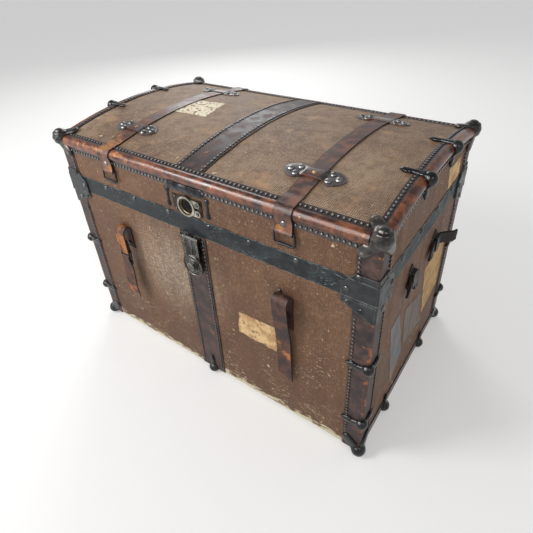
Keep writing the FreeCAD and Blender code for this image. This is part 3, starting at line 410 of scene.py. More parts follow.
def add_slab(across, along, point, rub=lambda a, b: 0, mesh=None):
    """Closed sheet through point(a, b, side), where side 0 is its face and 1 its back. Rub tells how worn
    each spot is."""
    mesh, worn = open_mesh(mesh)
    faces, borders = [], []
    for side in (0, 1):
        rows = [[mesh.verts.new(point(a, b, side)) for b in along] for a in across]
        for a, row in zip(across, rows):
            for b, vert in zip(along, row):
                vert[worn] = rub(a, b)
        for one, two in zip(rows, rows[1:]):
            for near in range(len(along) - 1):
                faces.append(mesh.faces.new((one[near], one[near + 1], two[near + 1], two[near])))
        last_edge, first_edge = [row[-1] for row in rows[:-1]], [row[0] for row in rows[:0:-1]]
        borders.append(rows[0][:-1] + last_edge + rows[-1][:0:-1] + first_edge)
    face_border, back_border = borders
    for near in range(len(face_border)):
        after = (near + 1) % len(face_border)
        corners = face_border[near], face_border[after], back_border[after], back_border[near]
        faces.append(mesh.faces.new(corners))
        for one, two in (corners[:2], corners[2:]):
            mesh.edges.get((one, two)).smooth = False
    for face in faces:
        face.smooth = True
    bmesh.ops.recalc_face_normals(mesh, faces=faces)
    return mesh


def ripple(place, scale, depth):
    """Small unevenness at a place, the same in every run."""
    return noise.noise(Vector(place) * scale) * depth


canvas_thickness = 0.001
canvas_ripple = 0.0003
body_low, body_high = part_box("body_canvas")
dome_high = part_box("dome_canvas")[1]
lid_low, lid_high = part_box("lid_wall_canvas")
canvas_x, canvas_y = body_high.x, body_high.y
dome_rise = 0.031
dome_radius = (canvas_y ** 2 + dome_rise ** 2) / (2 * dome_rise)
dome_axis = dome_high.z - dome_radius


def dome_z(y, lift=0):
    """Height of the dome over a depth, lifted off the canvas."""
    return dome_axis + math.sqrt((dome_radius + lift) ** 2 - y ** 2)


def wall_ring(count):
    """Places round the walls as shares of their half sizes, from one back corner over the front and round."""
    corners = (-1, 1), (-1, -1), (1, -1), (1, 1), (-1, 1)
    ring = [corners[0]]
    for start, end in zip(corners, corners[1:]):
        ring += list(zip(steps(start[0], end[0], count), steps(start[1], end[1], count)))[1:]
    return ring


def wall_spot(share, z, side):
    """Place on the outer or inner side of the canvas on the walls."""
    push = ripple((share[0], share[1], z * 5), 9, canvas_ripple) - canvas_thickness * side
    return share[0] * (canvas_x + push), share[1] * (canvas_y + push), z


def lid_wall_spot(share, rise, side):
    """The same on the lid, at a share of the height up to the dome's board."""
    top = dome_z(share[1] * canvas_y, -canvas_thickness)
    return wall_spot(share, lid_low.z + rise * (top - lid_low.z), side)


def dome_spot(x, y, side):
    """Place on the upper or lower side of the dome's canvas."""
    return x, y, dome_z(y, ripple((x, y, 0), 14, canvas_ripple) - canvas_thickness * side)


canvas_material = canvas_finish()
mesh = add_slab(wall_ring(24), steps(body_low.z, body_high.z, 24), wall_spot)
piece = add_piece("body_canvas_skin", mesh, canvas_material, "trunk_body", "canvas", "body_canvas")
mesh = add_slab(wall_ring(24), steps(0, 1, 8), lid_wall_spot)
piece = add_piece("lid_wall_canvas_skin", mesh, canvas_material, "lid", "canvas", "lid_wall_canvas")
mesh = add_slab(steps(-canvas_x, canvas_x, 48), steps(-canvas_y, canvas_y, 40), dome_spot)
piece = add_piece("dome_canvas_skin", mesh, canvas_material, "lid", "canvas", "dome_canvas")

# Flat leathers: hide glued and tacked over the uprights, down the middle of the front and back, over the
# dome, and along the foot of the ends. It has darkened to purple brown, cracked, and rubbed to bare orange
# hide along the corners.
hide, hide_in, hide_out = new_group(
    "hide", {"Place": None, "Rub": 0, "Bare": 0.2}, ("Clouds", "Spots", "Grubby", "Creases", "Height")
)
hide_place, hide_rub = hide_in["Place"], hide_in["Rub"]
pores = add_node(hide, "TexVoronoi", {"Vector": hide_place, "Scale": 700}).outputs["Distance"]
crack_feeds = {"Vector": stretch(hide_place, (0.4, 1, 1)), "Scale": 75}
cracks = add_node(hide, "TexVoronoi", crack_feeds, feature="DISTANCE_TO_EDGE").outputs["Distance"]
creases = times(ramp(cracks, 0.07, 0.01), patches(hide_place, 30, 0.5, 0.66))
spot_bar = reckon("SUBTRACT", 0.75, times(hide_in["Bare"], 0.3))
spots = ramp(plus(speckle(hide_place, 42, detail=8), times(hide_rub, 0.2)), spot_bar, plus(spot_bar, 0.06))
put_out(
    hide_out,
    Clouds=ramp(plus(speckle(hide_place, 44, detail=8), times(hide_rub, 0.1)), 0.4, 0.7),
    Spots=spots,
    Grubby=times(patches(hide_place, 130, 0.4, 0.66, detail=8), 0.75),
    Creases=times(creases, 0.6),
    Height=reckon("SUBTRACT", plus(times(pores, 0.5), speckle(hide_place, 120)), creases),
)


def rub_of(tree):
    """How worn the piece is at each spot."""
    return add_node(tree, "Attribute", attribute_name="rub").outputs["Fac"]


def hide_finish(name, deep, middle, bare, bare_share, gloss=(0.3, 0.55), margin=None, coat=0):
    """Leather from a deep to a middle colour, bare where it is rubbed, with a share of bare spots elsewhere.
    The margin's colour shows where the rub is below zero."""
    sockets = {"Specular IOR Level": 0.38, "Coat Weight": coat, "Coat Roughness": 0.18}
    material, shader = new_material(name, sockets)
    worn = rub_of(shader.id_data)
    skin = use(hide, place_of(shader.id_data), Rub=worn, Bare=bare_share)
    colour = lay_over(skin["Clouds"], deep, middle)
    colour = lay_over(skin["Spots"], colour, lay_over(skin["Grubby"], bare, middle))
    if margin:
        colour = lay_over(ramp(worn, -0.3, -0.7), colour, margin)
    colour = lay_over(skin["Creases"], colour, (34, 24, 22))
    feed(shader, colour, choose(skin["Clouds"], *gloss), (skin["Height"], 0.3, 0.0005))
    return material


flat_hide = hide_finish(
    "flat leather", (38, 27, 27), (90, 65, 57), (166, 100, 50), bare_share=0.32, gloss=(0.42, 0.62)
)
hide_thickness = 0.0025
hide_ripple = 0.0005
edge_wander = 0.0012
leather_x = canvas_x + hide_thickness
leather_y = canvas_y + hide_thickness


def wandering(edge, place):
    """Cut edge that isn't quite straight, at a place along it."""
    return edge + ripple(place, 30, edge_wander)


def on_wall(facing_y):
    """Places on the front or back, by x, the height and the lift off the canvas."""
    return lambda x, z, lift: (x, facing_y * (canvas_y + lift), z)


def on_lid(x, y, lift):
    """Place on the dome, by x, the depth and the lift off the canvas."""
    return x, y, dome_z(y, lift)


def band_spot(onto, edge_seed, face_seed):
    """Places on a flat band laid onto a surface, by its share of the half width and its run."""
    def spot(share, run, side):
        half = wandering(band_half, (share * 9, run, edge_seed))
        lift = (hide_thickness + ripple((share, run * 8, face_seed), 2, hide_ripple)) * (1 - side)
        return onto(share * half, run, lift)
    return spot


def band_rub(share, run):
    """Bands are rubbed bare here and there."""
    return max(0, noise.noise(Vector((share * 2, run * 24, 4)))) * (1.2 - abs(share))


front_low, front_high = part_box("front_centre_band")
dome_band_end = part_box("dome_centre_band")[1].y
band_half = front_high.x
for band_name, body, first, last, spot in (
    ("front_centre_band", "trunk_body", front_low.z, front_high.z, band_spot(on_wall(-1), -1, 3)),
    ("back_centre_band", "trunk_body", front_low.z, front_high.z, band_spot(on_wall(1), 1, 3)),
    ("dome_centre_band", "lid", -dome_band_end, dome_band_end, band_spot(on_lid, 5, 7)),
):
    mesh = add_slab(steps(-1, 1, 8), steps(first, last, 60), spot, band_rub)
    add_piece(band_name + "_hide", mesh, flat_hide, body, "binding_leather", band_name)

corner_round, corner_rub_reach = 0.004, 0.012
front_leg, end_leg, cut_edge_run = 0.042, 0.045, 0.04
corner_signs = (1, -1), (-1, -1), (1, 1), (-1, 1)
corner_runs = steps(-front_leg, -corner_round, 6) + steps(corner_round, end_leg, 6)
lid_corner_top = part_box("lid_corner_leathers")[1].z
binding_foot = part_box("lid_front_binding")[0].z
binding_end = canvas_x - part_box("lid_front_binding")[1].x
end_binding_height = 0.0355
end_foot_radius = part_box("lid_end_bindings")[1].z - dome_axis - end_binding_height


def body_corner_spot(signs):
    """Places on the body's upright, by the run round its corner, which is below zero on the front, and the
    height."""
    def spot(run, z, side):
        out = (hide_thickness + ripple((run * 6, z * 8, signs[0]), 2, hide_ripple)) * (1 - side)
        if abs(run) > cut_edge_run:
            run = wandering(run, (run * 40, z, signs[1]))
        return signs[0] * (canvas_x + out + min(0, run)), signs[1] * (canvas_y + out - max(0, run)), z
    return spot


def lid_corner_spot(signs):
    """The same on the lid, where the bindings stop all but the very corner lower down."""
    def spot(run, rise, side):
        end_foot = dome_axis + math.sqrt(end_foot_radius ** 2 - (canvas_y - abs(run)) ** 2)
        top = lid_corner_top if abs(run) < binding_end else min(binding_foot, end_foot)
        return body_corner_spot(signs)(run, lid_low.z + rise * (top - lid_low.z), side)
    return spot


def corner_rub(run, along):
    """The corner's own edge is rubbed most."""
    return max(0, 1 - abs(run) / corner_rub_reach)


body_mesh = lid_mesh = None
corner_low, corner_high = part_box("body_corner_leathers")
corner_heights = steps(corner_low.z, corner_high.z, 50)
for signs in corner_signs:
    body_mesh = add_slab(corner_runs, corner_heights, body_corner_spot(signs), corner_rub, body_mesh)
    lid_mesh = add_slab(corner_runs, steps(0, 1, 16), lid_corner_spot(signs), corner_rub, lid_mesh)
add_piece("body_corner_hides", body_mesh, flat_hide, "trunk_body", "binding_leather", "body_corner_leathers")
add_piece("lid_corner_hides", lid_mesh, flat_hide, "lid", "binding_leather", "lid_corner_leathers")

foot_hide = hide_finish("foot strip leather", (44, 38, 37), (70, 60, 56), (120, 92, 66), bare_share=0.25)
strip_low, strip_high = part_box("bottom_end_strips")
mesh = None
for end_sign in (-1, 1):
    def strip_spot(y, rise, side, end_sign=end_sign):
        top = wandering(strip_high.z, (end_sign, y * 2, 0))
        z = strip_low.z + rise * (top - strip_low.z)
        return end_sign * (canvas_x + hide_thickness * (1 - side)), y, z

    mesh = add_slab(steps(strip_low.y, strip_high.y, 60), steps(0, 1, 4), strip_spot, mesh=mesh)
add_piece("bottom_end_strip_hides", mesh, foot_hide, "trunk_body", "binding_leather", "bottom_end_strips")

# Rolled bindings: glossy red brown hide over a cord along the lid's four top edges, with a flat margin
# tacked down on each side. The roll is rubbed orange where hands and straps passed over it.
roll_drop, roll_inset, roll_bulge = 0.020, 0.008, 0.011
strip_width, roll_lumps, fringe_steps = 0.013, 0.0009, 6
roll_hide = hide_finish(
    "rolled leather", (58, 31, 25), (142, 80, 46), (206, 130, 58), bare_share=0.16, gloss=(0.28, 0.46),
    margin=(62, 54, 53), coat=0.3,
)


def arc(centre, radius, first, last, count):
    """Points round a centre in a plane, from one angle in degrees to another."""
    turns = map(math.radians, steps(first, last, count))
    return [centre + Vector((math.cos(turn), math.sin(turn))) * radius for turn in turns]


def roll_round(low, high):
    """Centre and radius of the roll that bulges from the chord between two points."""
    chord = high - low
    radius = ((chord.length / 2) ** 2 + roll_bulge ** 2) / (2 * roll_bulge)
    return (low + high) / 2 + Vector((-chord.y, chord.x)).normalized() * (radius - roll_bulge), radius


def edge_section(wall, edge_height, top):
    """Section of a binding as (outer, inner, rub), from its foot on the wall, over the roll, to its border on
    the dome. Wall is the canvas's half size, and top(inset, lift) is a point on the dome."""
    low, high = Vector((wall + hide_thickness, edge_height - roll_drop)), top(roll_inset, hide_thickness)
    wall_foot, edge, dome_end = Vector((wall, low.y)), Vector((wall, edge_height)), top(roll_inset, 0)
    border, under_border = top(binding_end, hide_thickness), top(binding_end, 0)
    centre, radius = roll_round(low, high)
    first, last = [math.degrees(math.atan2(*(end - centre).yx)) for end in (low, high)]
    foot_heights = steps(low.y - strip_width, low.y - 0.001, 3)
    section = [(Vector((low.x, z)), Vector((wall, z)), -1) for z in foot_heights]
    for share, outer in zip(steps(0, 1, 14), arc(centre, radius, first, last, 14)):
        inner = wall_foot.lerp(edge, share * 2) if share < 0.5 else edge.lerp(dome_end, share * 2 - 1)
        section.append((outer, inner, math.sin(math.pi * share) * (0.3 + share)))
    for share in steps(0.06, 1, 3):
        section.append((high.lerp(border, share), dome_end.lerp(under_border, share), -1))
    return section


def dome_point(y, lift):
    """Depth and height on the dome, square to it by a lift."""
    stretched = (dome_radius + lift) / dome_radius
    return Vector((y * stretched, dome_axis + (dome_z(y) - dome_axis) * stretched))


def dome_place(x, run, radius):
    """Place at a radius from the dome's axis, by the run over the canvas from its crown."""
    angle = run / dome_radius
    return Vector((x, radius * math.sin(angle), dome_axis + radius * math.cos(angle)))


edge_z, crown_z = dome_z(canvas_y), dome_high.z
long_section = edge_section(canvas_y, edge_z, lambda inset, lift: dome_point(canvas_y - inset, lift))
end_section = edge_section(canvas_x, crown_z, lambda inset, lift: Vector((canvas_x - inset, crown_z + lift)))


def section_spot(section, number, run, side, seed):
    """Outer or inner point of a section, with the roll's lumps and the borders' wander."""
    outer, inner, rub = section[number]
    if side:
        return inner
    wander = 0
    if number == 0:
        wander = ripple((run, seed, 0), 25, edge_wander) + ripple((run, seed, 4), 110, edge_wander)
    lump = max(0, rub) * ripple((run, seed, number * 0.05), 16, roll_lumps)
    away = (outer - inner).normalized() if lump else Vector((0, 0))
    return outer + away * lump + Vector((0, wander))


def section_rub(section, roll, fringe):
    """How worn a binding is: its roll in stretches, and the fringe at the roll's foot."""
    def rub(number, run):
        worn = section[number][2]
        if worn < 0:
            return worn
        if number < fringe_steps:
            return fringe * (0.4 + noise.noise(Vector((run * 60, 2, 0))))
        return worn * roll * (0.6 + noise.noise(Vector((run * 7, 2, number * 0.1))))
    return rub


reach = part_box("lid_front_binding")[1].x
for binding_name, facing_y in (("lid_front_binding", -1), ("lid_back_binding", 1)):
    def long_spot(number, x, side, facing_y=facing_y):
        y, z = section_spot(long_section, number, x, side, facing_y)
        return x, facing_y * y, z

    wear = section_rub(long_section, 1, 1.6)
    mesh = add_slab(range(len(long_section)), steps(-reach, reach, 130), long_spot, wear)
    add_piece(binding_name + "_roll", mesh, roll_hide, "lid", "binding_leather", binding_name)
end_swing = math.asin((canvas_y - binding_end) / dome_radius)
mesh = None
for end_sign, end_wear in ((-1, 2.2), (1, 0.4)):
    def end_spot(number, angle, side, end_sign=end_sign):
        run = angle * dome_radius
        x, z = section_spot(end_section, number, run, side, 3 + end_sign)
        return dome_place(end_sign * x, run, z - dome_axis)

    wear = section_rub(end_section, end_wear, 2)
    mesh = add_slab(range(len(end_section)), steps(-end_swing, end_swing, 90), end_spot, wear, mesh)
add_piece("lid_end_binding_rolls", mesh, roll_hide, "lid", "binding_leather", "lid_end_bindings")

# Tacks: close rows of small domed iron heads through the margins of the bindings and the edges of the
# leathers. Their tops are painted bright, partly as rubbed metal and partly as a painted highlight, and their
# rims are nearly black.
def tack_finish():
    """Black iron that is painted bright on top, part rubbed metal and part painted highlight, and brighter
    along the lid's edge.
    """
    material, shader = new_material("tack iron", {"Metallic": 0.75})
    place = place_of(shader.id_data)
    # Painted highlight and rub: the bright tops stand partly for light on each dome and partly for rubbed
    # metal.
    bright = plus(rub_of(shader.id_data), times(speckle(place, 160), 0.6))
    bright = ramp(bright, 0.6, 1.2)
    on_lid_edge = ramp(axes_of(place)["Z"], 0.54, 0.6)
    rubbed_iron = lay_over(on_lid_edge, (126, 118, 112), (150, 146, 139))
    feed(shader, lay_over(bright, (40, 38, 38), rubbed_iron), choose(bright, 0.5, 0.28))
    return material


def spokes(out, sides, aside=None):
    """Directions square to a line, evenly spread round it from a first one."""
    aside = aside or out.orthogonal().normalized()
    beside = out.cross(aside)
    turns = [2 * math.pi * side / sides for side in range(sides)]
    return [aside * math.cos(turn) + beside * math.sin(turn) for turn in turns]


def join_rows(mesh, rows, smooth=True):
    """Faces between rows of points, each row closed on itself."""
    faces = []
    for one, two in zip(rows, rows[1:]):
        for side in range(len(one)):
            after = (side + 1) % len(one)
            faces.append(mesh.faces.new((one[side], one[after], two[after], two[side])))
            faces[-1].smooth = smooth
    return faces


def add_heads(spots, radius, height, sides=16, rings=4, mesh=None):
    """Closed domed heads on spots, each a place and the direction out of the surface."""
    mesh, worn = open_mesh(mesh)
    for place, out in spots:
        place, out = Vector(place), Vector(out).normalized()
        rows = []
        for ring in range(rings):
            tilt = math.pi / 2 * ring / rings
            middle, spread = place + out * height * math.sin(tilt), radius * math.cos(tilt)
            rows.append([mesh.verts.new(middle + spoke * spread) for spoke in spokes(out, sides)])
            # The rub rises towards each head's top, where the tack finish paints rubbed metal and a painted
            # highlight.
            for vert in rows[-1]:
                vert[worn] = ring / rings
        top = mesh.verts.new(place + out * height)
        top[worn] = 1
        mesh.faces.new(rows[0][::-1])
        join_rows(mesh, rows)
        for one, two in zip(rows[-1], rows[-1][1:] + rows[-1][:1]):
            mesh.faces.new((one, two, top)).smooth = True
    return mesh


def wall_head(sign, x, z, out):
    """Spot of a head on the front or back, out from the canvas."""
    return (x, sign * (canvas_y + out), z), (0, sign, 0)


def end_head(sign, y, z, out):
    """Spot of a head on an end, out from the canvas."""
    return (sign * (canvas_x + out), y, z), (sign, 0, 0)


def dome_head(place):
    """Spot of a head at a place on the dome."""
    return place, (0, place[1], place[2] - dome_axis)


def row_of(first, last):
    """Places of a row's tacks between two ends."""
    return steps(first, last, max(1, round(abs(last - first) / tack_pitch)))


tack_material = tack_finish()
tack_radius, tack_height, tack_pitch = 0.0035, 0.0024, 0.0104
tack_margin = strip_width / 2
tack_inset = 0.007
lid_tacks, body_tacks = [], []
long_row_gap, dome_row_gap = 0.012, 0.004
band_foot_gap, band_top_gap = 0.02, 0.01
upright_foot_gap, upright_top_gap = 0.03, 0.045
lid_foot_gap, lid_top_gap = 0.065, 0.006
row_reach = reach - long_row_gap
wall_row_z = edge_z - roll_drop - tack_margin
dome_row_y, dome_row_z = dome_point(canvas_y - roll_inset - tack_margin, hide_thickness)
for x in row_of(-row_reach, row_reach):
    for facing_y in (-1, 1):
        lid_tacks.append(wall_head(facing_y, x, wall_row_z, hide_thickness))
        lid_tacks.append(dome_head((x, facing_y * dome_row_y, dome_row_z)))
end_row_radius = crown_z - roll_drop - tack_margin - dome_axis
inner_row_x = canvas_x - roll_inset - tack_margin
for run in row_of(-end_swing * dome_radius, end_swing * dome_radius):
    for end_sign in (-1, 1):
        lid_tacks.append((dome_place(end_sign * leather_x, run, end_row_radius), (end_sign, 0, 0)))
        lid_tacks.append(dome_head(dome_place(end_sign * inner_row_x, run, dome_radius + hide_thickness)))
for share in (-1, 1):
    x = share * (band_half - tack_inset)
    for z in row_of(front_low.z + band_foot_gap, front_high.z - band_top_gap):
        body_tacks += [wall_head(facing_y, x, z, hide_thickness) for facing_y in (-1, 1)]
    for y in row_of(-dome_band_end + dome_row_gap, dome_band_end - dome_row_gap):
        lid_tacks.append(dome_head((x, y, dome_z(y, hide_thickness))))
front_row_x, end_row_y = canvas_x - front_leg + tack_inset, canvas_y - end_leg + tack_inset
body_row = row_of(corner_low.z + upright_foot_gap, corner_high.z - upright_top_gap)
lid_row = row_of(lid_low.z + lid_foot_gap, binding_foot - lid_top_gap)
for sign_x, sign_y in corner_signs:
    for tacks, row in ((body_tacks, body_row), (lid_tacks, lid_row)):
        for z in row:
            tacks.append(wall_head(sign_y, sign_x * front_row_x, z, hide_thickness))
            tacks.append(end_head(sign_x, sign_y * end_row_y, z, hide_thickness))
for body, tacks in (("lid", lid_tacks), ("trunk_body", body_tacks)):
    mesh = add_heads(tacks, tack_radius, tack_height, sides=10, rings=3)
    add_piece(body + "_tacks", mesh, tack_material, body, "tack_metal")

# Valance and seam brackets: sheet steel in old blue grey paint. The valance strips are riveted along the
# foot of the lid, and pressed brackets meet round each upright at the seam. Edges are rubbed to bare metal.
metal, metal_in, metal_out = new_group(
    "old metal", {"Place": None, "Edge": 0.0025, "Share": 0.3}, ("Clouds", "Rust", "Bare", "Bumps")
)
metal_place = metal_in["Place"]
rounded = add_node(metal, "Bevel", {"Radius": metal_in["Edge"]}, samples=6).outputs["Normal"]
straight = add_node(metal, "NewGeometry").outputs["Normal"]
bend = add_node(metal, "VectorMath", {0: rounded, 1: straight}, operation="DOT_PRODUCT").outputs["Value"]
bare_edges = times(ramp(bend, 0.995, 0.86), patches(metal_place, 60, 0.34, 0.6))
bare_scratches = times(use(scratch, metal_place, Share=metal_in["Share"])["Mask"], 0.7)
put_out(
    metal_out,
    Clouds=patches(metal_place, 34, 0.36, 0.66, detail=8),
    Rust=times(patches(metal_place, 70, 0.66, 0.74, detail=6), 0.6),
    Bare=greatest(bare_scratches, bare_edges),
    Bumps=speckle(metal_place, 90, detail=6),
)


def metal_finish(
    name, deep, middle, bare, metallic, gloss, edge_width=0.0025, scratch_share=0.3, specular=0.5, coat=0
):
    """Old metal from a deep to a middle colour, with bare edges, scratches and spots of rust."""
    shine = {"Specular IOR Level": specular, "Coat Weight": coat, "Coat Roughness": 0.12}
    material, shader = new_material(name, {"Metallic": metallic, **shine})
    wear = use(metal, place_of(shader.id_data), Edge=edge_width, Share=scratch_share)
    colour = lay_over(wear["Clouds"], deep, middle)
    colour = lay_over(wear["Rust"], colour, (88, 58, 42))
    colour = lay_over(wear["Bare"], colour, bare)
    feed(shader, colour, choose(wear["Clouds"], *gloss), (wear["Bumps"], 0.2, 0.0006))
    return material


def soften(width, *nodes, segments=2):
    """Rounds the sharp edges of solids that show as they are."""
    for node in nodes:
        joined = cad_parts[node].modifiers.new("joined faces", "WELD")
        joined.merge_threshold = 0.00002
        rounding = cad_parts[node].modifiers.new("rounded edges", "BEVEL")
        rounding.width = width
        rounding.segments = segments
        rounding.limit_method = "ANGLE"
        rounding.harden_normals = True


painted_steel = metal_finish(
    "painted steel", (29, 33, 35), (52, 58, 60), (146, 150, 148), metallic=0.1, gloss=(0.4, 0.6),
    scratch_share=0.6, specular=0.2,
)
dress(painted_steel, "valance_front", "valance_back", "valance_ends")
bracket_steel = metal_finish(
    "bracket steel", (34, 36, 38), (52, 55, 57), (128, 130, 130), metallic=0.4, gloss=(0.32, 0.5)
)
dress(bracket_steel, "lid_corner_brackets", "body_corner_brackets")
soften(0.0008, "lid_corner_brackets", "body_corner_brackets")

rivet_iron = metal_finish(
    "rivet iron", (40, 41, 42), (104, 104, 102), (150, 148, 142), metallic=0.8, gloss=(0.2, 0.32)
)
rivet_radius, rivet_height = 0.0062, 0.0032
valance_face, bracket_step = 0.0015, 0.0012
bracket_face = hide_thickness + 0.002
valance_row_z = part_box("valance_front")[1].z - 0.009
long_row = (-0.285, -0.18, -0.066, 0.055, 0.16, 0.27)
lid_rivets = [wall_head(sign, x, valance_row_z, valance_face) for x in long_row for sign in (-1, 1)]
end_row = (-0.15, -0.05, 0.05, 0.15)
lid_rivets += [end_head(sign, y, valance_row_z, valance_face) for y in end_row for sign in (-1, 1)]
body_rivets = []
for sign_x, sign_y in corner_signs:
    for rivets, inset, z, face in (
        (lid_rivets, 0.033, 0.511, bracket_face),
        (lid_rivets, 0.054, 0.478, bracket_face + bracket_step),
        (body_rivets, 0.052, 0.447, bracket_face),
        (body_rivets, 0.024, 0.437, bracket_face),
    ):
        rivets.append(wall_head(sign_y, sign_x * (canvas_x - inset), z, face))
        rivets.append(end_head(sign_x, sign_y * (canvas_y - inset), z, face))
for body, rivets in (("lid", lid_rivets), ("trunk_body", body_rivets)):
    mesh = add_heads(rivets, rivet_radius, rivet_height)
    add_piece(body + "_steel_rivets", mesh, rivet_iron, body, "tack_metal")

# Castings: black enamelled iron bumpers on the eight corners, clamps over the uprights and the lid's ends,
# and feet along the bottom. Each is a ball that runs out into thick lobes or leaves, which are screwed down.
# Hands have rubbed the lid's bumpers bright.
rubbed_casting = metal_finish(
    "rubbed cast iron", (44, 42, 40), (92, 87, 82), (130, 125, 118), metallic=0.75, gloss=(0.3, 0.42),
    edge_width=0.0015, scratch_share=0.1, coat=0.3,
)
black_casting = metal_finish(
    "black cast iron", (20, 20, 21), (42, 42, 43), (112, 109, 104), metallic=0.7, gloss=(0.28, 0.42),
    edge_width=0.0015, scratch_share=0.1, coat=0.4,
)
cast_grid = 0.0014
ball_inside, ball_outside = 0.86, 1.09


def recast(node, balls, radius, body, swell, rounds, casting=black_casting):
    """Round casting in place of a flat faced one: its solid on a fine grid, swollen and smoothed, with its
    balls made round."""
    blank = add_object("blank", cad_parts[node].data.copy())
    grid = blank.modifiers.new("fine grid", "REMESH")
    grid.mode = "VOXEL"
    grid.voxel_size = cast_grid
    smooth = blank.modifiers.new("smooth", "SMOOTH")
    smooth.factor = 0.5
    smooth.iterations = rounds
    data = bpy.data.meshes.new_from_object(blank.evaluated_get(bpy.context.evaluated_depsgraph_get()))
    bpy.data.objects.remove(blank)
    mesh = bmesh.new()
    mesh.from_mesh(data)
    bpy.data.meshes.remove(data)
    mesh.normal_update()

    def ease():
        every_way = {"use_axis_x": True, "use_axis_y": True, "use_axis_z": True}
        for _ in range(rounds):
            bmesh.ops.smooth_vert(mesh, verts=mesh.verts, factor=0.5, **every_way)

    for vert, normal in [(vert, vert.normal.copy()) for vert in mesh.verts]:
        vert.co += normal * swell
    ease()
    for vert in mesh.verts:
        for ball in balls:
            away = vert.co - ball
            if ball_inside * radius < away.length < ball_outside * radius:
                vert.co = ball + away * (radius / away.length)
    ease()
    for vert in mesh.verts:
        vert.co.z = max(0, vert.co.z)
    for face in mesh.faces:
        face.smooth = True
    add_piece(node + "_cast", mesh, casting, body, "black_iron", node)


def corner_places(x, y, z):
    """A place near the front right corner, and its mirror images at the other three."""
    return [Vector((sign_x * x, sign_y * y, z)) for sign_x, sign_y in corner_signs]


bumper_inset, foot_inset, clamp_inset, foot_clamp_inset = 0.0015, 0.004, 0.003, 0.002
base_z = body_low.z
balls = corner_places(canvas_x - bumper_inset, canvas_y - bumper_inset, edge_z)
recast("lid_corner_bumpers", balls, 0.0188, "lid", swell=0.0032, rounds=7, casting=rubbed_casting)
balls = corner_places(leather_x - foot_inset, leather_y - foot_inset, base_z + foot_inset)
recast("bottom_corner_bumpers", balls, 0.017, "trunk_body", swell=0.0018, rounds=6)
balls = []
for height in (0.103, 0.280):
    balls += corner_places(leather_x - clamp_inset, leather_y - clamp_inset, base_z + height)
recast("upright_clamps", balls, 0.0138, "trunk_body", swell=0.003, rounds=5)
foot_x, foot_y = leather_x - foot_clamp_inset, leather_y - foot_clamp_inset
foot_z = base_z + foot_clamp_inset
balls = corner_places(foot_x, 0.120, foot_z)
recast("bottom_end_clamps", balls, 0.015, "trunk_body", swell=0.0018, rounds=5)
balls = [Vector((0, facing_y * foot_y, foot_z)) for facing_y in (-1, 1)]
recast("centre_foot_clamps", balls, 0.015, "trunk_body", swell=0.0018, rounds=5)
knob_stand = 0.0014
lid_clamp_run = dome_radius * math.asin(0.080 / dome_radius)
on_end_roll = end_section[len(end_section) // 2][0]
knob = dome_place(on_end_roll.x + knob_stand, lid_clamp_run, on_end_roll.y + knob_stand - dome_axis)
recast("lid_end_clamps", corner_places(*knob), 0.0138, "lid", swell=0.0024, rounds=5)

screw_radius, screw_height = 0.0048, 0.0016
lobe_run, lobe_drop, lobe_top_run = 0.033, 0.034, 0.028
lobe_face = hide_thickness + 0.0055
lobe_y, lobe_z = dome_point(canvas_y - lobe_top_run, lobe_face)
screws = []
for sign_x, sign_y in corner_signs:
    screws.append(wall_head(sign_y, sign_x * (leather_x - lobe_run), edge_z - lobe_drop, lobe_face))
    screws.append(end_head(sign_x, sign_y * (leather_y - lobe_run), edge_z - lobe_drop, lobe_face))
    screws.append(dome_head((sign_x * (leather_x - lobe_top_run), sign_y * lobe_y, lobe_z)))
add_piece("bumper_screws", add_heads(screws, screw_radius, screw_height), tack_material, "lid", "tack_metal")

# Lid straps: two belts of brown hide that lie over the dome and both rolls. Each goes under two butterfly
# keepers, and at the front it is turned back round a wire loop and riveted to itself.
strap_hide = hide_finish(
    "strap leather", (66, 42, 35), (134, 88, 68), (178, 122, 62), bare_share=0.16, gloss=(0.36, 0.56),
    margin=(34, 25, 24),
)
strap_low, strap_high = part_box("right_lid_strap")
strap_x = (strap_low.x + strap_high.x) / 2
strap_half = strap_high.x - strap_x
strap_thickness, strap_gap = 0.0025, 0.0003
wire_radius = 0.00225
loop_low, loop_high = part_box("right_strap_loop")
eye_y = -canvas_y - hide_thickness - strap_gap - strap_thickness
eye_z = loop_high.z - wire_radius


def rounded_off(points, passes):
    """Cuts the corners of a run of points again and again, which leaves a soft curve."""
    for _ in range(passes):
        cut = [points[0]]
        for one, two in zip(points, points[1:]):
            cut += [one.lerp(two, 0.25), one.lerp(two, 0.75)]
        points = cut + [points[-1]]
    return points


def add_belt(path, aside, half_width, thickness, rub=lambda share, run: 0, torn=lambda share: 0, mesh=None):
    """Belt of leather along the middle of its thickness. Its half width, if that changes, and its rub go by
    the share of its run, and torn is the share of the run that is missing at its end."""
    aside = Vector(aside)
    last = len(path) - 1

    def belt_spot(share, run, side):
        position = run * (1 - torn(share)) * last
        before = min(int(position), last - 1)
        place = path[before].lerp(path[before + 1], position - before)
        ahead = path[min(before + 2, last)] - path[max(before - 1, 0)]
        out = ahead.cross(aside).normalized()
        uneven = run * last * 0.2 + path[0].x * 50
        curl = ripple((share, uneven, 0), 1.3, 0.0004)
        half = half_width(run) if callable(half_width) else half_width
        edge = share * (half + ripple((share * 3, uneven, 5), 1, 0.0006))
        return place + aside * edge + out * (thickness * (0.5 - side) + curl)

    def dark_edged(share, run):
        return -1 if abs(share) == 1 else rub(share, run)

    return add_slab((-1, -0.9, -0.45, 0, 0.45, 0.9, 1), steps(0, 1, last), belt_spot, dark_edged, mesh)


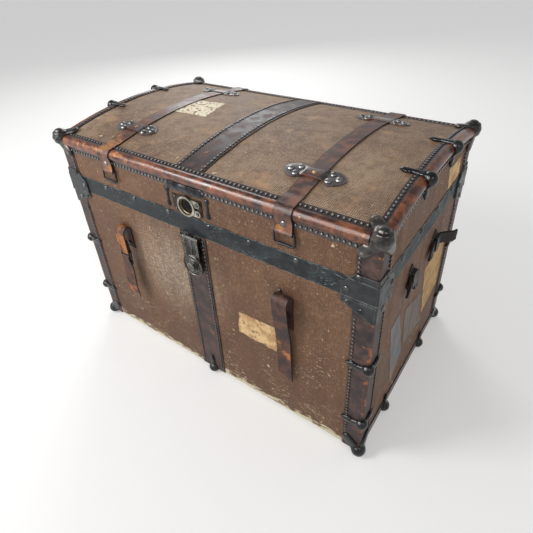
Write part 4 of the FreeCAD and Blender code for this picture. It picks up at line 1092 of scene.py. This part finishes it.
roll_foot_z = edge_z - roll_drop
roll_top = dome_point(canvas_y - roll_inset, hide_thickness)
roll_middle, roll_radius = roll_round(Vector((leather_y, roll_foot_z)), roll_top)
middle_lift = strap_gap + strap_thickness / 2
on_margin = dome_point(canvas_y - binding_end, hide_thickness + middle_lift)
on_canvas = dome_point(canvas_y - binding_end - 0.012, middle_lift)
half_way_over = [dome_point(y, middle_lift) for y in steps(0, on_canvas.x - 0.005, 14)]
half_way_over += [on_canvas, on_margin] + arc(roll_middle, roll_radius + middle_lift, 95, -20, 12)
wall_y, front_y = leather_y + middle_lift, -eye_y + strap_thickness / 2
back_end = [Vector((wall_y, z)) for z in steps(roll_foot_z - 0.004, edge_z - 0.045, 5)]
front_end = [Vector((front_y, z)) for z in steps(roll_foot_z - 0.004, eye_z + 0.004, 5)]
eye_wrap = wire_radius + strap_gap + strap_thickness / 2
front_end += arc(Vector((-eye_y, eye_z)), eye_wrap, 0, -180, 10)
front_end += [Vector((wall_y, z)) for z in steps(eye_z + 0.006, roll_foot_z - 0.001, 4)]
front_half = [Vector((0, -y, z)) for y, z in half_way_over + front_end]
back_half = [Vector((0, y, z)) for y, z in half_way_over + back_end]
strap_path = rounded_off(front_half[::-1] + back_half[1:], 1)


def lid_strap_rub(front):
    """The turned end, the stretch from there to the front keeper and the back roll are rubbed."""
    worn = (0.2, 0.06, 1.2), (0.38, 0.1, front), (0.86, 0.06, 0.4)
    return lambda share, run: sum(most * max(0, 1 - abs(run - at) / spread) for at, spread, most in worn)


for side_name, side_sign, front_rub in (("left", -1, 2), ("right", 1, 0.1)):
    path = [point + Vector((side_sign * strap_x, 0, 0)) for point in strap_path]
    mesh = add_belt(path, (1, 0, 0), strap_half, strap_thickness, lid_strap_rub(front_rub))
    strap_node = side_name + "_lid_strap"
    add_piece(strap_node + "_hide", mesh, strap_hide, "lid", "strap_leather", strap_node)

keeper_hide = hide_finish(
    "keeper leather", (56, 50, 51), (96, 90, 90), (124, 70, 46), bare_share=0.12, gloss=(0.22, 0.38),
    margin=(100, 64, 54), coat=0.2,
)
keeper_y = canvas_y - 0.100
keeper_half, keeper_wing, keeper_waist = 0.066, 0.023, 0.0132
keeper_thickness, keeper_crown, keeper_fall = 0.0025, 0.0006, 0.007
widest, stamp_stand = 0.42, 0.0004
hump = strap_thickness + 2 * strap_gap


def keeper_width(x):
    """Half width of a keeper: a waist over the strap, then a wing that closes to a blunt point."""
    run = abs(x)
    if run < strap_half:
        return keeper_waist
    share = (run - strap_half) / (keeper_half - strap_half)
    swell = math.sin(math.pi * min(1, share / widest) / 2)
    close = max(0.04, 1 - max(0, (share - widest) / (1 - widest)) ** 2)
    return (keeper_waist + (keeper_wing - keeper_waist) * swell) * close ** 0.8


def keeper_place(x, run, lift, y_sign):
    """Place on a keeper's spot of the dome, by the run up or down from it."""
    return dome_place(x, y_sign * (keeper_y + run), dome_radius + lift)


def keeper_lift(x):
    """Rise of a keeper's underside over the strap."""
    run = (abs(x) - strap_half - strap_gap) / keeper_fall
    return hump * (1 if run < 0 else max(0, math.cos(math.pi / 2 * min(1, run))))


def keeper_rub(x, share):
    """A keeper's edges are worn, and its waist is stained dark."""
    if abs(share) > 0.9:
        return 1.2
    return -1 if abs(x) < strap_half * 0.8 else 0.1


mesh, keeper_rivets, stamps = None, [], []
for x0, y_sign in [(side_sign * strap_x, y_sign) for side_sign in (-1, 1) for y_sign in (-1, 1)]:
    def keeper_spot(x, share, side, x0=x0, y_sign=y_sign):
        crown = keeper_crown * (1 - share ** 2)
        lift = keeper_lift(x) + (keeper_thickness + crown) * (1 - side)
        return keeper_place(x0 + x, share * keeper_width(x), lift, y_sign)

    shares = -1, -0.92, -0.5, 0, 0.5, 0.92, 1
    mesh = add_slab(steps(-keeper_half, keeper_half, 60), shares, keeper_spot, keeper_rub, mesh)
    for x, run in ((0.0515, 0), (0.035, 0.0115), (0.035, -0.0115)):
        for wing_x in (-x, x):
            keeper_rivets.append(dome_head(keeper_place(x0 + wing_x, run, keeper_thickness, y_sign)))
    stamps.append(dome_head(keeper_place(x0, 0, hump + keeper_thickness + stamp_stand, y_sign)))
add_piece("strap_keeper_hides", mesh, keeper_hide, "lid", "strap_leather", "strap_keepers")
rivet_bright = metal_finish(
    "bright rivet", (96, 96, 95), (150, 150, 147), (170, 170, 166), metallic=0.9, gloss=(0.24, 0.38)
)
strap_rivet_z, strap_rivet_out = 0.571, front_y + strap_thickness / 2 - canvas_y
strap_rivets = [wall_head(-1, x, strap_rivet_z, strap_rivet_out) for x in (-strap_x, strap_x)]
mesh = add_heads(keeper_rivets, radius=0.0076, height=0.005)
add_heads(strap_rivets, rivet_radius, height=0.003, mesh=mesh)
add_piece("strap_rivets", mesh, rivet_bright, "lid", "tack_metal")
stamp_brass = metal_finish(
    "stamp brass", (140, 112, 72), (188, 158, 104), (214, 190, 140), metallic=0.7, gloss=(0.3, 0.45)
)
mesh = add_heads(stamps, radius=0.0052, height=0.0007, sides=4, rings=2)
add_piece("keeper_stamps", mesh, stamp_brass, "lid", "aged_brass")

# Wire loops: bent rounds of black iron wire that hang from the turned ends of the lid straps. A ribbed
# sleeve turns on the lower bar of each.
wire_iron = metal_finish(
    "black wire", (22, 23, 25), (40, 41, 43), (110, 108, 104), metallic=0.5, gloss=(0.25, 0.4),
    edge_width=0.001,
)


def add_wire(path, radius, sides=12):
    """Closed ring of round wire along a run of points that faces the front."""
    mesh = bmesh.new()
    rows = []
    for before, place, after in zip(path[-1:] + path, path, path[1:] + path[:1]):
        round_wire = spokes((after - before).normalized(), sides, Vector((0, 1, 0)))
        rows.append([mesh.verts.new(place + spoke * radius) for spoke in round_wire])
    bmesh.ops.recalc_face_normals(mesh, faces=join_rows(mesh, rows + rows[:1]))
    return mesh


def add_turned(centre, out, profile, sides=48, hollow=True, aside=None, mesh=None):
    """Piece turned about a line from its radii and heights: a ring, or a rod with flat ends."""
    mesh = mesh or bmesh.new()
    rows = []
    for radius, height in profile:
        row = [centre + spoke * radius + out * height for spoke in spokes(out, sides, aside)]
        rows.append([mesh.verts.new(place) for place in row])
    if hollow:
        faces = join_rows(mesh, rows + rows[:1], smooth=False)
    else:
        faces = join_rows(mesh, rows) + [mesh.faces.new(rows[0]), mesh.faces.new(rows[-1])]
    bmesh.ops.recalc_face_normals(mesh, faces=faces)
    return mesh


def loop_path(bar, half, drop, bend):
    """Rounded outline of a wire loop that hangs from its top bar."""
    points = []
    for x_sign, z, first in ((1, -bend, 90), (1, bend - drop, 0), (-1, bend - drop, -90), (-1, -bend, -180)):
        points += arc(Vector((x_sign * (half - bend), z)), bend, first, first - 90, 6)
    return [bar + Vector((x, 0, z)) for x, z in points]


loop_half = (loop_high.x - loop_low.x) / 2 - wire_radius
loop_drop = eye_z - loop_low.z - wire_radius
loop_bend = 0.006
sleeve_radius, sleeve_ribs = 0.0034, 9
sleeve_half = loop_half - 0.008
sleeve = []
for share in steps(-1, 1, sleeve_ribs * 4):
    rib = abs(math.sin(math.pi * sleeve_ribs * (share + 1) / 2))
    sleeve.append((sleeve_radius * (0.8 + 0.2 * rib), share * sleeve_half))
for side_name, side_sign in (("left", -1), ("right", 1)):
    bar = Vector((side_sign * strap_x, eye_y, eye_z))
    mesh = add_wire(loop_path(bar, loop_half, loop_drop, loop_bend), wire_radius)
    low_bar = bar - Vector((0, 0, loop_drop))
    along, first_spoke = Vector((1, 0, 0)), Vector((0, 1, 0))
    add_turned(low_bar, along, sleeve, sides=12, hollow=False, aside=first_spoke, mesh=mesh)
    loop_node = side_name + "_strap_loop"
    add_piece(loop_node + "_wire", mesh, wire_iron, loop_node, "black_iron", loop_node)

# Lock: a pale nickel ring with two screwed ears on a dark plate, a blue black hood over it and a bone shaped
# bar on each side. Below it hangs the hasp, pressed with ribs and a stepped round boss that goes into the
# ring, and the key's barrel turns in the boss.
ring_low, ring_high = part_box("lock_ring")
ring_z = (ring_low.z + ring_high.z) / 2
plate_face, ring_face = 0.0026, 0.0036
nickel = metal_finish(
    "aged nickel", (126, 122, 112), (184, 180, 168), (214, 210, 200), metallic=0.85, gloss=(0.26, 0.42),
    edge_width=0.0012, scratch_share=0.2,
)
nickel_shader = nickel.node_tree.nodes["Principled BSDF"]
nickel_colour = nickel_shader.inputs["Base Color"].links[0].from_socket
proud = ramp(axes_of(place_of(nickel.node_tree))["Y"], -canvas_y - plate_face, -canvas_y - ring_face)
feed(nickel_shader, lay_over(proud, (52, 47, 43), nickel_colour))
dress(nickel, "lock_ring")
soften(0.0009, "lock_ring", segments=3)

ring_middle, ring_out = Vector((0, -canvas_y, ring_z)), Vector((0, -1, 0))
socket_brass = metal_finish(
    "socket brass", (84, 70, 50), (138, 118, 90), (186, 174, 150), metallic=0.85, gloss=(0.28, 0.42)
)
socket_section = [(0.0198, 0.0004), (0.0198, 0.0032), (0.0189, 0.0042)]
socket_section += [(0.0176, 0.0042), (0.0167, 0.0032), (0.0167, 0.0004)]
mesh = add_turned(ring_middle, ring_out, socket_section)
add_piece("lock_socket", mesh, socket_brass, "lid", "aged_brass")
# The socket's floor is near black and barely reflects: partly dark iron, partly painted shade in the ring's
# hollow.
socket_dark_and_shade = metal_finish(
    "socket dark", (16, 14, 13), (28, 24, 21), (66, 60, 52), metallic=0, gloss=(0.7, 0.9), specular=0.1
)
mesh = add_heads([(ring_middle, ring_out)], radius=0.0169, height=0.0003, sides=32, rings=2)
pins = [wall_head(-1, 0, ring_z + rise, 0) for rise in (0.0149, -0.0149)]
add_heads(pins, radius=0.0016, height=0.001, sides=10, rings=3, mesh=mesh)
add_piece("lock_socket_floor", mesh, socket_dark_and_shade, "lid", "black_iron")
ear_screws = [wall_head(-1, x=0.031, z=ring_z + rise, out=0.005) for rise in (-0.011, 0.011)]
plate_screws = [wall_head(-1, x=-0.034, z=ring_z + rise, out=0.002) for rise in (-0.015, 0.015)]
mesh = add_heads(ear_screws, radius=0.0046, height=0.0018)
add_heads(plate_screws, radius=0.0036, height=0.0016, mesh=mesh)
add_piece("lock_screws", mesh, tack_material, "lid", "tack_metal")

hood_steel = metal_finish(
    "hood steel", (20, 22, 26), (42, 46, 50), (110, 112, 114), metallic=0.5, gloss=(0.2, 0.34),
    edge_width=0.0012,
)
hood_low, hood_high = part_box("lock_hood")
hood_edge, hood_bulge, hood_corner, hood_dent = 0.0016, 0.0036, 0.006, 0.0012


def hood_spot(share, rise, side):
    """Place on the hood, which bulges most near its lower edge and is a little dented."""
    half = hood_high.x - hood_corner * abs(2 * rise - 1) ** 5
    bulge = hood_bulge * (1 - share ** 8) * math.sin(math.pi * (0.9 - 0.8 * rise))
    dent = ripple((share * 5, rise * 2, 2), 1, hood_dent)
    out = (hood_edge + max(0, bulge + dent)) * (1 - side)
    return share * half, hood_high.y - out, hood_low.z + rise * (hood_high.z - hood_low.z)


mesh = add_slab(steps(-1, 1, 40), steps(0, 1, 12), hood_spot)
add_piece("lock_hood_plate", mesh, hood_steel, "lid", "black_iron", "lock_hood")
bars_low, bars_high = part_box("lock_side_bars")
bar_half, bar_waist, bar_crown, bar_edge = 0.006, 0.0034, 0.0042, 0.0004
bar_foot, bar_top = bars_low.z + 0.004, hood_low.z - 0.0004


def bar_spot(bar_x):
    """Places on a round faced bar with a knob at each end, from its foot to the hood."""
    def spot(share, run, side):
        end = min(run, 1 - run)
        half = bar_waist + (bar_half - bar_waist) * max(0, math.cos(math.pi * min(1, end / 0.3) / 2)) ** 0.7
        half *= math.sin(math.pi / 2 * min(1, 0.35 + end / 0.1))
        out = bar_edge + bar_crown * math.sqrt(1 - 0.9 * share ** 2) * half / bar_half
        return bar_x + share * half, -canvas_y - out * (1 - side), bar_foot + run * (bar_top - bar_foot)
    return spot


mesh = None
for sign in (-1, 1):
    mesh = add_slab(steps(-1, 1, 10), steps(0, 1, 40), bar_spot(sign * (bars_high.x - bar_half)), mesh=mesh)
add_piece("lock_side_bar_castings", mesh, hood_steel, "lid", "black_iron", "lock_side_bars")

# The hasp's wide, pale bare edges are partly rubbed metal and partly a painted highlight along its edges.
hasp_worn_and_highlit_metal = metal_finish(
    "hasp metal", (36, 36, 35), (74, 74, 72), (196, 190, 180), metallic=0.9, gloss=(0.2, 0.34),
    edge_width=0.0024,
)
barrel_metal = metal_finish(
    "key barrel metal", (84, 83, 80), (130, 128, 122), (200, 196, 186), metallic=0.9, gloss=(0.22, 0.34)
)
rim_metal = metal_finish(
    "rubbed rim", (38, 37, 36), (62, 61, 58), (132, 129, 122), metallic=0.9, gloss=(0.28, 0.42)
)
dress(hasp_worn_and_highlit_metal, "hasp", "hasp_base")
dress(barrel_metal, "lock_barrel")
soften(0.0007, "hasp", "hasp_base", "lock_barrel")
hasp_low, hasp_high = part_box("hasp")
disc_radius = (hasp_high.x - hasp_low.x) / 2
disc_middle = Vector((0, hasp_low.y + 0.0035, hasp_low.z + disc_radius))
rim_foot = -0.0002
mesh = None
for inner, outer, rise in ((disc_radius - 0.0036, disc_radius - 0.0004, 0.0011), (0.0168, 0.0192, 0.001)):
    soft = rise / 2
    rim = [(outer, rim_foot), (outer, rise - soft), (outer - soft, rise)]
    rim += [(inner + soft, rise), (inner, rise - soft), (inner, rim_foot)]
    mesh = add_turned(disc_middle, ring_out, rim, mesh=mesh)
add_piece("hasp_rims", mesh, rim_metal, "hasp", "aged_nickel")

# Hinges: two pairs of black painted steel leaves at the back of the seam, on knuckles with a fixed pin. Each
# leaf is bent from strip and riveted through the wall.
hinge_steel = metal_finish(
    "hinge steel", (40, 42, 44), (64, 67, 69), (130, 130, 128), metallic=0.5, gloss=(0.3, 0.48)
)
dress(hinge_steel, "hinge_body_leaves", "hinge_lid_leaves")
soften(0.0006, "hinge_body_leaves", "hinge_lid_leaves")
hinge_half, leaf_thickness, leaf_margin = 0.033, 0.002, 0.011
leaf_rivet_radius, leaf_rivet_height = 0.0042, 0.0018
leaf_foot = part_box("hinge_body_leaves")[0].z + leaf_margin
leaf_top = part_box("hinge_lid_leaves")[1].z - leaf_margin
hinge_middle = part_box("hinge_body_leaves")[1].x - hinge_half
for body, face, z, toward_pin in (
    ("trunk_body", leaf_thickness, leaf_foot, 1),
    ("lid", valance_face + leaf_thickness, leaf_top, -1),
):
    leaf_rivets = []
    for middle in (-hinge_middle, hinge_middle):
        for offset, rise in ((-0.02, 0), (0, 0.012), (0.02, 0)):
            leaf_rivets.append(wall_head(1, middle + offset, z + toward_pin * rise, face))
    mesh = add_heads(leaf_rivets, leaf_rivet_radius, leaf_rivet_height)
    add_piece(body + "_hinge_rivets", mesh, rivet_iron, body, "tack_metal")

# Straps on the body's front: each is riveted flat to the canvas and folded over at the top. The right one
# hangs to a slanted torn end. The left one holds a wire buckle, and a torn tail hangs from that.
body_hide = hide_finish(
    "body strap leather", (40, 24, 20), (98, 60, 45), (172, 108, 52), bare_share=0.26, gloss=(0.55, 0.75),
    margin=(38, 24, 21),
)
belt_thickness, belt_x = 0.003, 0.243
right_flat_foot, left_flat_foot, belt_rivet_z = 0.305, 0.331, 0.345
right_low, right_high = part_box("right_body_strap")
belt_top = right_high.z - belt_thickness / 2
flat_y = -canvas_y - belt_thickness / 2
fold_y = right_low.y + belt_thickness / 2
fold_radius = (flat_y - fold_y) / 2


def folded_top(x, low):
    """Run of a body strap up the canvas from its low end and over the fold, which puffs up."""
    fold_z = belt_top - fold_radius
    run = [Vector((x, flat_y, z)) for z in steps(low, fold_z, 6)]
    for y, rise in arc(Vector((flat_y - fold_radius, 0)), fold_radius, 0, 180, 12)[1:]:
        run.append(Vector((x, y, fold_z + rise * (1 + 0.12 * rise / fold_radius))))
    return run


right_half = (right_high.x - right_low.x) / 2
right_path = folded_top(belt_x, right_flat_foot)
right_fall, right_bow, right_wave = 0.017, 0.003, 0.0012
fold_end_z = right_path[-1].z
for run in steps(0, 1, 22)[1:]:
    bow = right_bow * math.sin(math.pi * run) - right_wave * math.sin(3 * math.pi * run)
    z = fold_end_z + run * (right_low.z - fold_end_z)
    right_path.append(Vector((belt_x, fold_y + run * right_fall + bow, z)))


def right_rub(share, run):
    """The fold is worn, and a wide patch two thirds down is rubbed orange."""
    return max(0, 1 - abs(run - 0.8) / 0.1) * 1.5 + max(0, 1 - abs(run - 0.36) / 0.05) * 0.3


def slanted(share):
    """The right strap's end is torn off on a slant."""
    return 0.045 * (0.5 - share / 2) + ripple((share * 5, 1, 0), 1, 0.006)


mesh = add_belt(right_path, (1, 0, 0), right_half, belt_thickness, right_rub, slanted)
add_piece("right_body_strap_hide", mesh, body_hide, "trunk_body", "strap_leather", "right_body_strap")

buckle_low, buckle_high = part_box("left_buckle")
buckle_bar = Vector((-belt_x, (buckle_low.y + buckle_high.y) / 2, buckle_high.z - wire_radius))
buckle_drop = buckle_bar.z - buckle_low.z - wire_radius
buckle_half, buckle_bend = (buckle_high.x - buckle_low.x) / 2 - wire_radius, 0.0035
belt_wrap = wire_radius + strap_gap + belt_thickness / 2
down_and_round = [(fold_y - 0.0004, z) for z in (0.372, 0.355, 0.34)]
down_and_round += arc(buckle_bar.yz, belt_wrap, 180, 360, 10)
down_and_round += [(fold_y + 0.0066, 0.336), (fold_y + 0.0046, 0.35), (fold_y + 0.0038, 0.366)]
left_path = folded_top(-belt_x, left_flat_foot) + [Vector((-belt_x, y, z)) for y, z in down_and_round]
left_low, left_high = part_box("left_body_strap")
left_half = (left_high.x - left_low.x) / 2 + 0.0015


def left_rub(share, run):
    """The whole fold is rubbed orange."""
    return 1.3 if 0.25 < run < 0.75 else 0.2


mesh = add_belt(rounded_off(left_path, 1), (1, 0, 0), left_half, belt_thickness, left_rub)
add_piece("left_body_strap_hide", mesh, body_hide, "trunk_body", "strap_leather", "left_body_strap")
mesh = add_wire(loop_path(buckle_bar, buckle_half, buckle_drop, buckle_bend), wire_radius)
add_piece("left_buckle_wire", mesh, wire_iron, "left_buckle", "black_iron", "left_buckle")

tail_low, tail_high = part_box("left_strap_tail")
tail_half = (tail_high.x - tail_low.x) / 2
tail_end = tail_low.z + 0.03
tail_lean, tail_wave = 0.001, 0.0018
hook = buckle_bar - Vector((0, 0, buckle_drop))
tail_path = [hook + Vector((0, belt_wrap, z)) for z in (-0.026, -0.014, -0.005)]
tail_path += [Vector((-belt_x, y, z)) for y, z in arc(hook.yz, belt_wrap, 0, 180, 10)]
for run in steps(0, 1, 20)[1:]:
    sag = tail_lean * run + tail_wave * math.sin(2 * math.pi * run)
    tail_path.append(Vector((-belt_x, hook.y - belt_wrap + sag, hook.z + run * (tail_end - hook.z))))


def forked(share):
    """The tail's end is torn into two ragged prongs."""
    return max(0, 0.06 - 0.2 * abs(share - 0.1)) + abs(ripple((share * 6, 2, 0), 1, 0.03))


def tail_width(run):
    """The tail is pinched where it goes through the buckle and spreads below it."""
    return tail_half * (0.98 + 0.55 * max(0, min(1, (run - 0.42) / 0.15)))


mesh = add_belt(tail_path, (1, 0, 0), tail_width, belt_thickness, lambda share, run: 0.9 * run, forked)
add_piece("left_strap_tail_hide", mesh, body_hide, "left_buckle", "strap_leather", "left_strap_tail")
belt_rivets = [wall_head(-1, x, belt_rivet_z, belt_thickness) for x in (-belt_x, belt_x)]
belt_rivets.append(wall_head(-1, x=0.229, z=0.400, out=0))
mesh = add_heads(belt_rivets, radius=0.0058, height=0.003)
add_piece("body_strap_rivets", mesh, tack_material, "trunk_body", "tack_metal")

# Handles: a stout leather strap passes through two black iron keepers on each end. The left one is whole. The
# right one has torn through, and its two ends hang from the keepers in frayed strips.
handle_hide = hide_finish(
    "handle leather", (20, 14, 13), (50, 33, 29), (96, 50, 34), bare_share=0.15, gloss=(0.5, 0.7)
)
keeper_iron = metal_finish(
    "keeper iron", (22, 21, 21), (42, 40, 39), (96, 92, 88), metallic=0.2, gloss=(0.42, 0.58)
)
dress(keeper_iron, "handle_keepers")
soften(0.0012, "handle_keepers")
handle_z = (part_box("left_handle")[0].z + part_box("left_handle")[1].z) / 2
handle_half, handle_thickness, grip_half = 0.015, 0.005, 0.058
handle_seat, handle_bow = canvas_x + 0.0065, 0.03
in_keeper = -0.1, -0.085, -0.07, -0.062
whole = [Vector((-handle_seat, y, handle_z)) for y in in_keeper]
for run in steps(-1, 1, 24):
    lift = (1 + math.cos(math.pi * run)) / 2
    whole.append(Vector((-handle_seat - lift * handle_bow, run * grip_half, handle_z)))
whole += [Vector((-handle_seat, -y, handle_z)) for y in in_keeper[::-1]]


def handle_rub(share, run):
    """The grip and the edges are rubbed."""
    return 0.6 * max(0, 1 - abs(run - 0.5) / 0.2) + 0.3 * (abs(share) > 0.85)


mesh = add_belt(whole, (0, 0, 1), handle_half, handle_thickness, handle_rub)
add_piece("left_handle_hide", mesh, handle_hide, "trunk_body", "strap_leather", "left_handle")

keeper_spread = 0.074
strip_half, strip_thickness, strip_depth = 0.0025, 0.0064, 0.0092
shred_half, shred_thickness = 0.0024, 0.0062


def ragged(depth, *seed):
    """Torn end of a strip, at most a share of its run deep."""
    return lambda share: abs(ripple((share * 4, *seed), 1, depth))


def frayed_end(y_sign, feet):
    """Strips of a torn end, from inside a keeper, bent down beside it and hanging to their feet."""
    mesh = None
    for number, foot in enumerate(feet):
        inner = number - 1
        bend_y = keeper_spread - 0.019 - 0.0068 * number
        strip_z = handle_z - inner * strip_depth
        path = [
            (0, keeper_spread + 0.012, strip_z),
            (0, keeper_spread - 0.008, strip_z),
            (0.0006 * inner, bend_y + 0.003, handle_z + 0.009 - 0.004 * inner),
            (0.001, bend_y, handle_z - 0.012),
            (-0.0008 * inner, bend_y - 0.001 * inner, handle_z - 0.034),
            (0.0015 * inner, bend_y + 0.0012 * inner, foot),
        ]
        path = rounded_off([Vector((handle_seat + out, y_sign * y, z)) for out, y, z in path], 3)
        torn = ragged(0.12, number, y_sign)
        mesh = add_belt(path, (1, 0, 0), strip_half, strip_thickness, torn=torn, mesh=mesh)
    return mesh


mesh = frayed_end(-1, (0.352, 0.344, 0.349))
for number, (drop, swing) in enumerate(((0.026, 0.004), (0.036, 0.009), (0.027, 0.014), (0.032, 0.019))):
    start = Vector((handle_seat, -keeper_spread + 0.004, handle_z + 0.010 - 0.006 * number))
    lean = Vector((0.003 * (number % 2), -0.4 * swing, -0.25 * drop))
    past = start - Vector((0, 0.015, 0))
    tip = Vector((handle_seat + 0.002, -keeper_spread - 0.012 - swing, handle_z - drop))
    path = rounded_off([start, past, past + lean, tip], 3)
    add_belt(path, (1, 0, 0), shred_half, shred_thickness, torn=ragged(0.16, number, 5), mesh=mesh)
front_stub, rear_stub = "right_handle_front_stub", "right_handle_rear_stub"
add_piece("right_handle_front_strips", mesh, handle_hide, "trunk_body", "strap_leather", front_stub)
stub_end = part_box(rear_stub)[1] - Vector((0.003, 0.002, 0))
stub = [Vector((handle_seat, y, handle_z)) for y in (0.066, 0.076, 0.088)]
stub_start = stub[-1]
for run in steps(0, 1, 12)[1:]:
    lift = (1 - math.cos(math.pi * run)) / 2
    rise = lift * (stub_end.x - stub_start.x), run * (stub_end.y - stub_start.y), 0.004 * run
    stub.append(stub_start + Vector(rise))


def stub_width(run):
    """The stub narrows to its torn end."""
    return handle_half * (1 - 0.15 * run)


def stub_torn(share):
    """The stub is torn off unevenly."""
    return abs(ripple((share * 3, 7, 0), 1, 0.16))


mesh = frayed_end(1, (0.366, 0.360, 0.370))
add_belt(stub, (0, 0, 1), stub_width, handle_thickness, torn=stub_torn, mesh=mesh)
add_piece("right_handle_rear_strips", mesh, handle_hide, "trunk_body", "strap_leather", rear_stub)

# Paper labels: blank travel labels pasted on the dome, the front and the right end. They are torn, stained
# and rubbed through, and some have gone grey or blue.
aged_paper, paper_in, paper_out = new_group(
    "aged paper", {"Place": None, "Bar": 0.6}, ("Stains", "Holes", "Bumps")
)
paper_place, paper_bar = paper_in["Place"], paper_in["Bar"]
paper_stains = patches(paper_place, 38, 0.42, 0.62, detail=8)
paper_holes = patches(paper_place, 95, paper_bar, plus(paper_bar, 0.05), detail=6)
put_out(paper_out, Stains=paper_stains, Holes=paper_holes, Bumps=speckle(paper_place, 150))


def label_finish(name, clean, stained, faded, rubbed=0.6, streak=(1, 1, 1)):
    """Old label paper with stains, and spots that are rubbed through, more of them for a lower bar."""
    material, shader = new_material(name, {"Roughness": 0.8})
    paper = use(aged_paper, stretch(place_of(shader.id_data), streak), Bar=rubbed)
    colour = lay_over(paper["Stains"], clean, stained)
    feed(shader, lay_over(paper["Holes"], colour, faded), bumps=(paper["Bumps"], 0.3, 0.0003))
    return material


label_thickness = 0.0004
label_wander = 0.004


def on_right_end(y, z, lift):
    """Place on the right end, by the depth, the height and the lift off the canvas."""
    return canvas_x + lift, y, z


def add_label(name, body, onto, material, corners):
    """Torn paper between four corners, laid on a surface by onto(a, b, lift)."""
    low_left, low_right, high_right, high_left = map(Vector, corners)

    def label_spot(a, b, side):
        spot = low_left.lerp(low_right, a).lerp(high_left.lerp(high_right, a), b)
        if min(a, 1 - a, b, 1 - b) < 0.001:
            seed = Vector((spot.x * 60, spot.y * 60, len(name)))
            wander = noise.noise(seed), noise.noise(seed + Vector((9, 0, 0)))
            spot += Vector(wander) * label_wander
        return onto(spot.x, spot.y, label_thickness * (1.6 - side * 1.4))

    mesh = add_slab(steps(0, 1, 24), steps(0, 1, 24), label_spot)
    add_piece(name, mesh, material, body, "label_paper")


scraped = (1, 1.3, 0.22)
cream = label_finish("cream label", (214, 181, 131), (180, 139, 90), (146, 110, 78), 0.57)
white = label_finish("white label", (250, 240, 216), (234, 218, 182), (150, 118, 90), 0.54)
yellow = label_finish("yellow label", (186, 150, 96), (160, 124, 80), (118, 92, 68))
grey = label_finish("grey label", (116, 108, 102), (102, 92, 85), (132, 108, 92), 0.55, scraped)
blue = label_finish("blue label", (98, 108, 114), (122, 120, 118), (146, 112, 100), 0.53, scraped)
corners = (0.106, 0.213), (0.214, 0.206), (0.215, 0.283), (0.110, 0.277)
add_label("front_label", "trunk_body", on_wall(-1), cream, corners)
corners = (-0.257, -0.045), (-0.128, -0.038), (-0.150, 0.064), (-0.274, 0.042)
add_label("dome_label", "lid", on_lid, white, corners)
corners = (0.092, 0.154), (0.200, 0.178), (0.190, 0.360), (0.045, 0.326)
add_label("end_label_yellow", "trunk_body", on_right_end, yellow, corners)
corners = (0.112, 0.509), (0.196, 0.511), (0.186, 0.560), (0.100, 0.564)
add_label("lid_end_label", "lid", on_right_end, cream, corners)
corners = (-0.038, 0.152), (0.086, 0.130), (0.050, 0.258), (-0.066, 0.290)
add_label("end_label_grey", "trunk_body", on_right_end, grey, corners)
corners = (-0.098, 0.076), (-0.044, 0.137), (-0.102, 0.312), (-0.152, 0.306)
add_label("end_label_blue", "trunk_body", on_right_end, blue, corners)
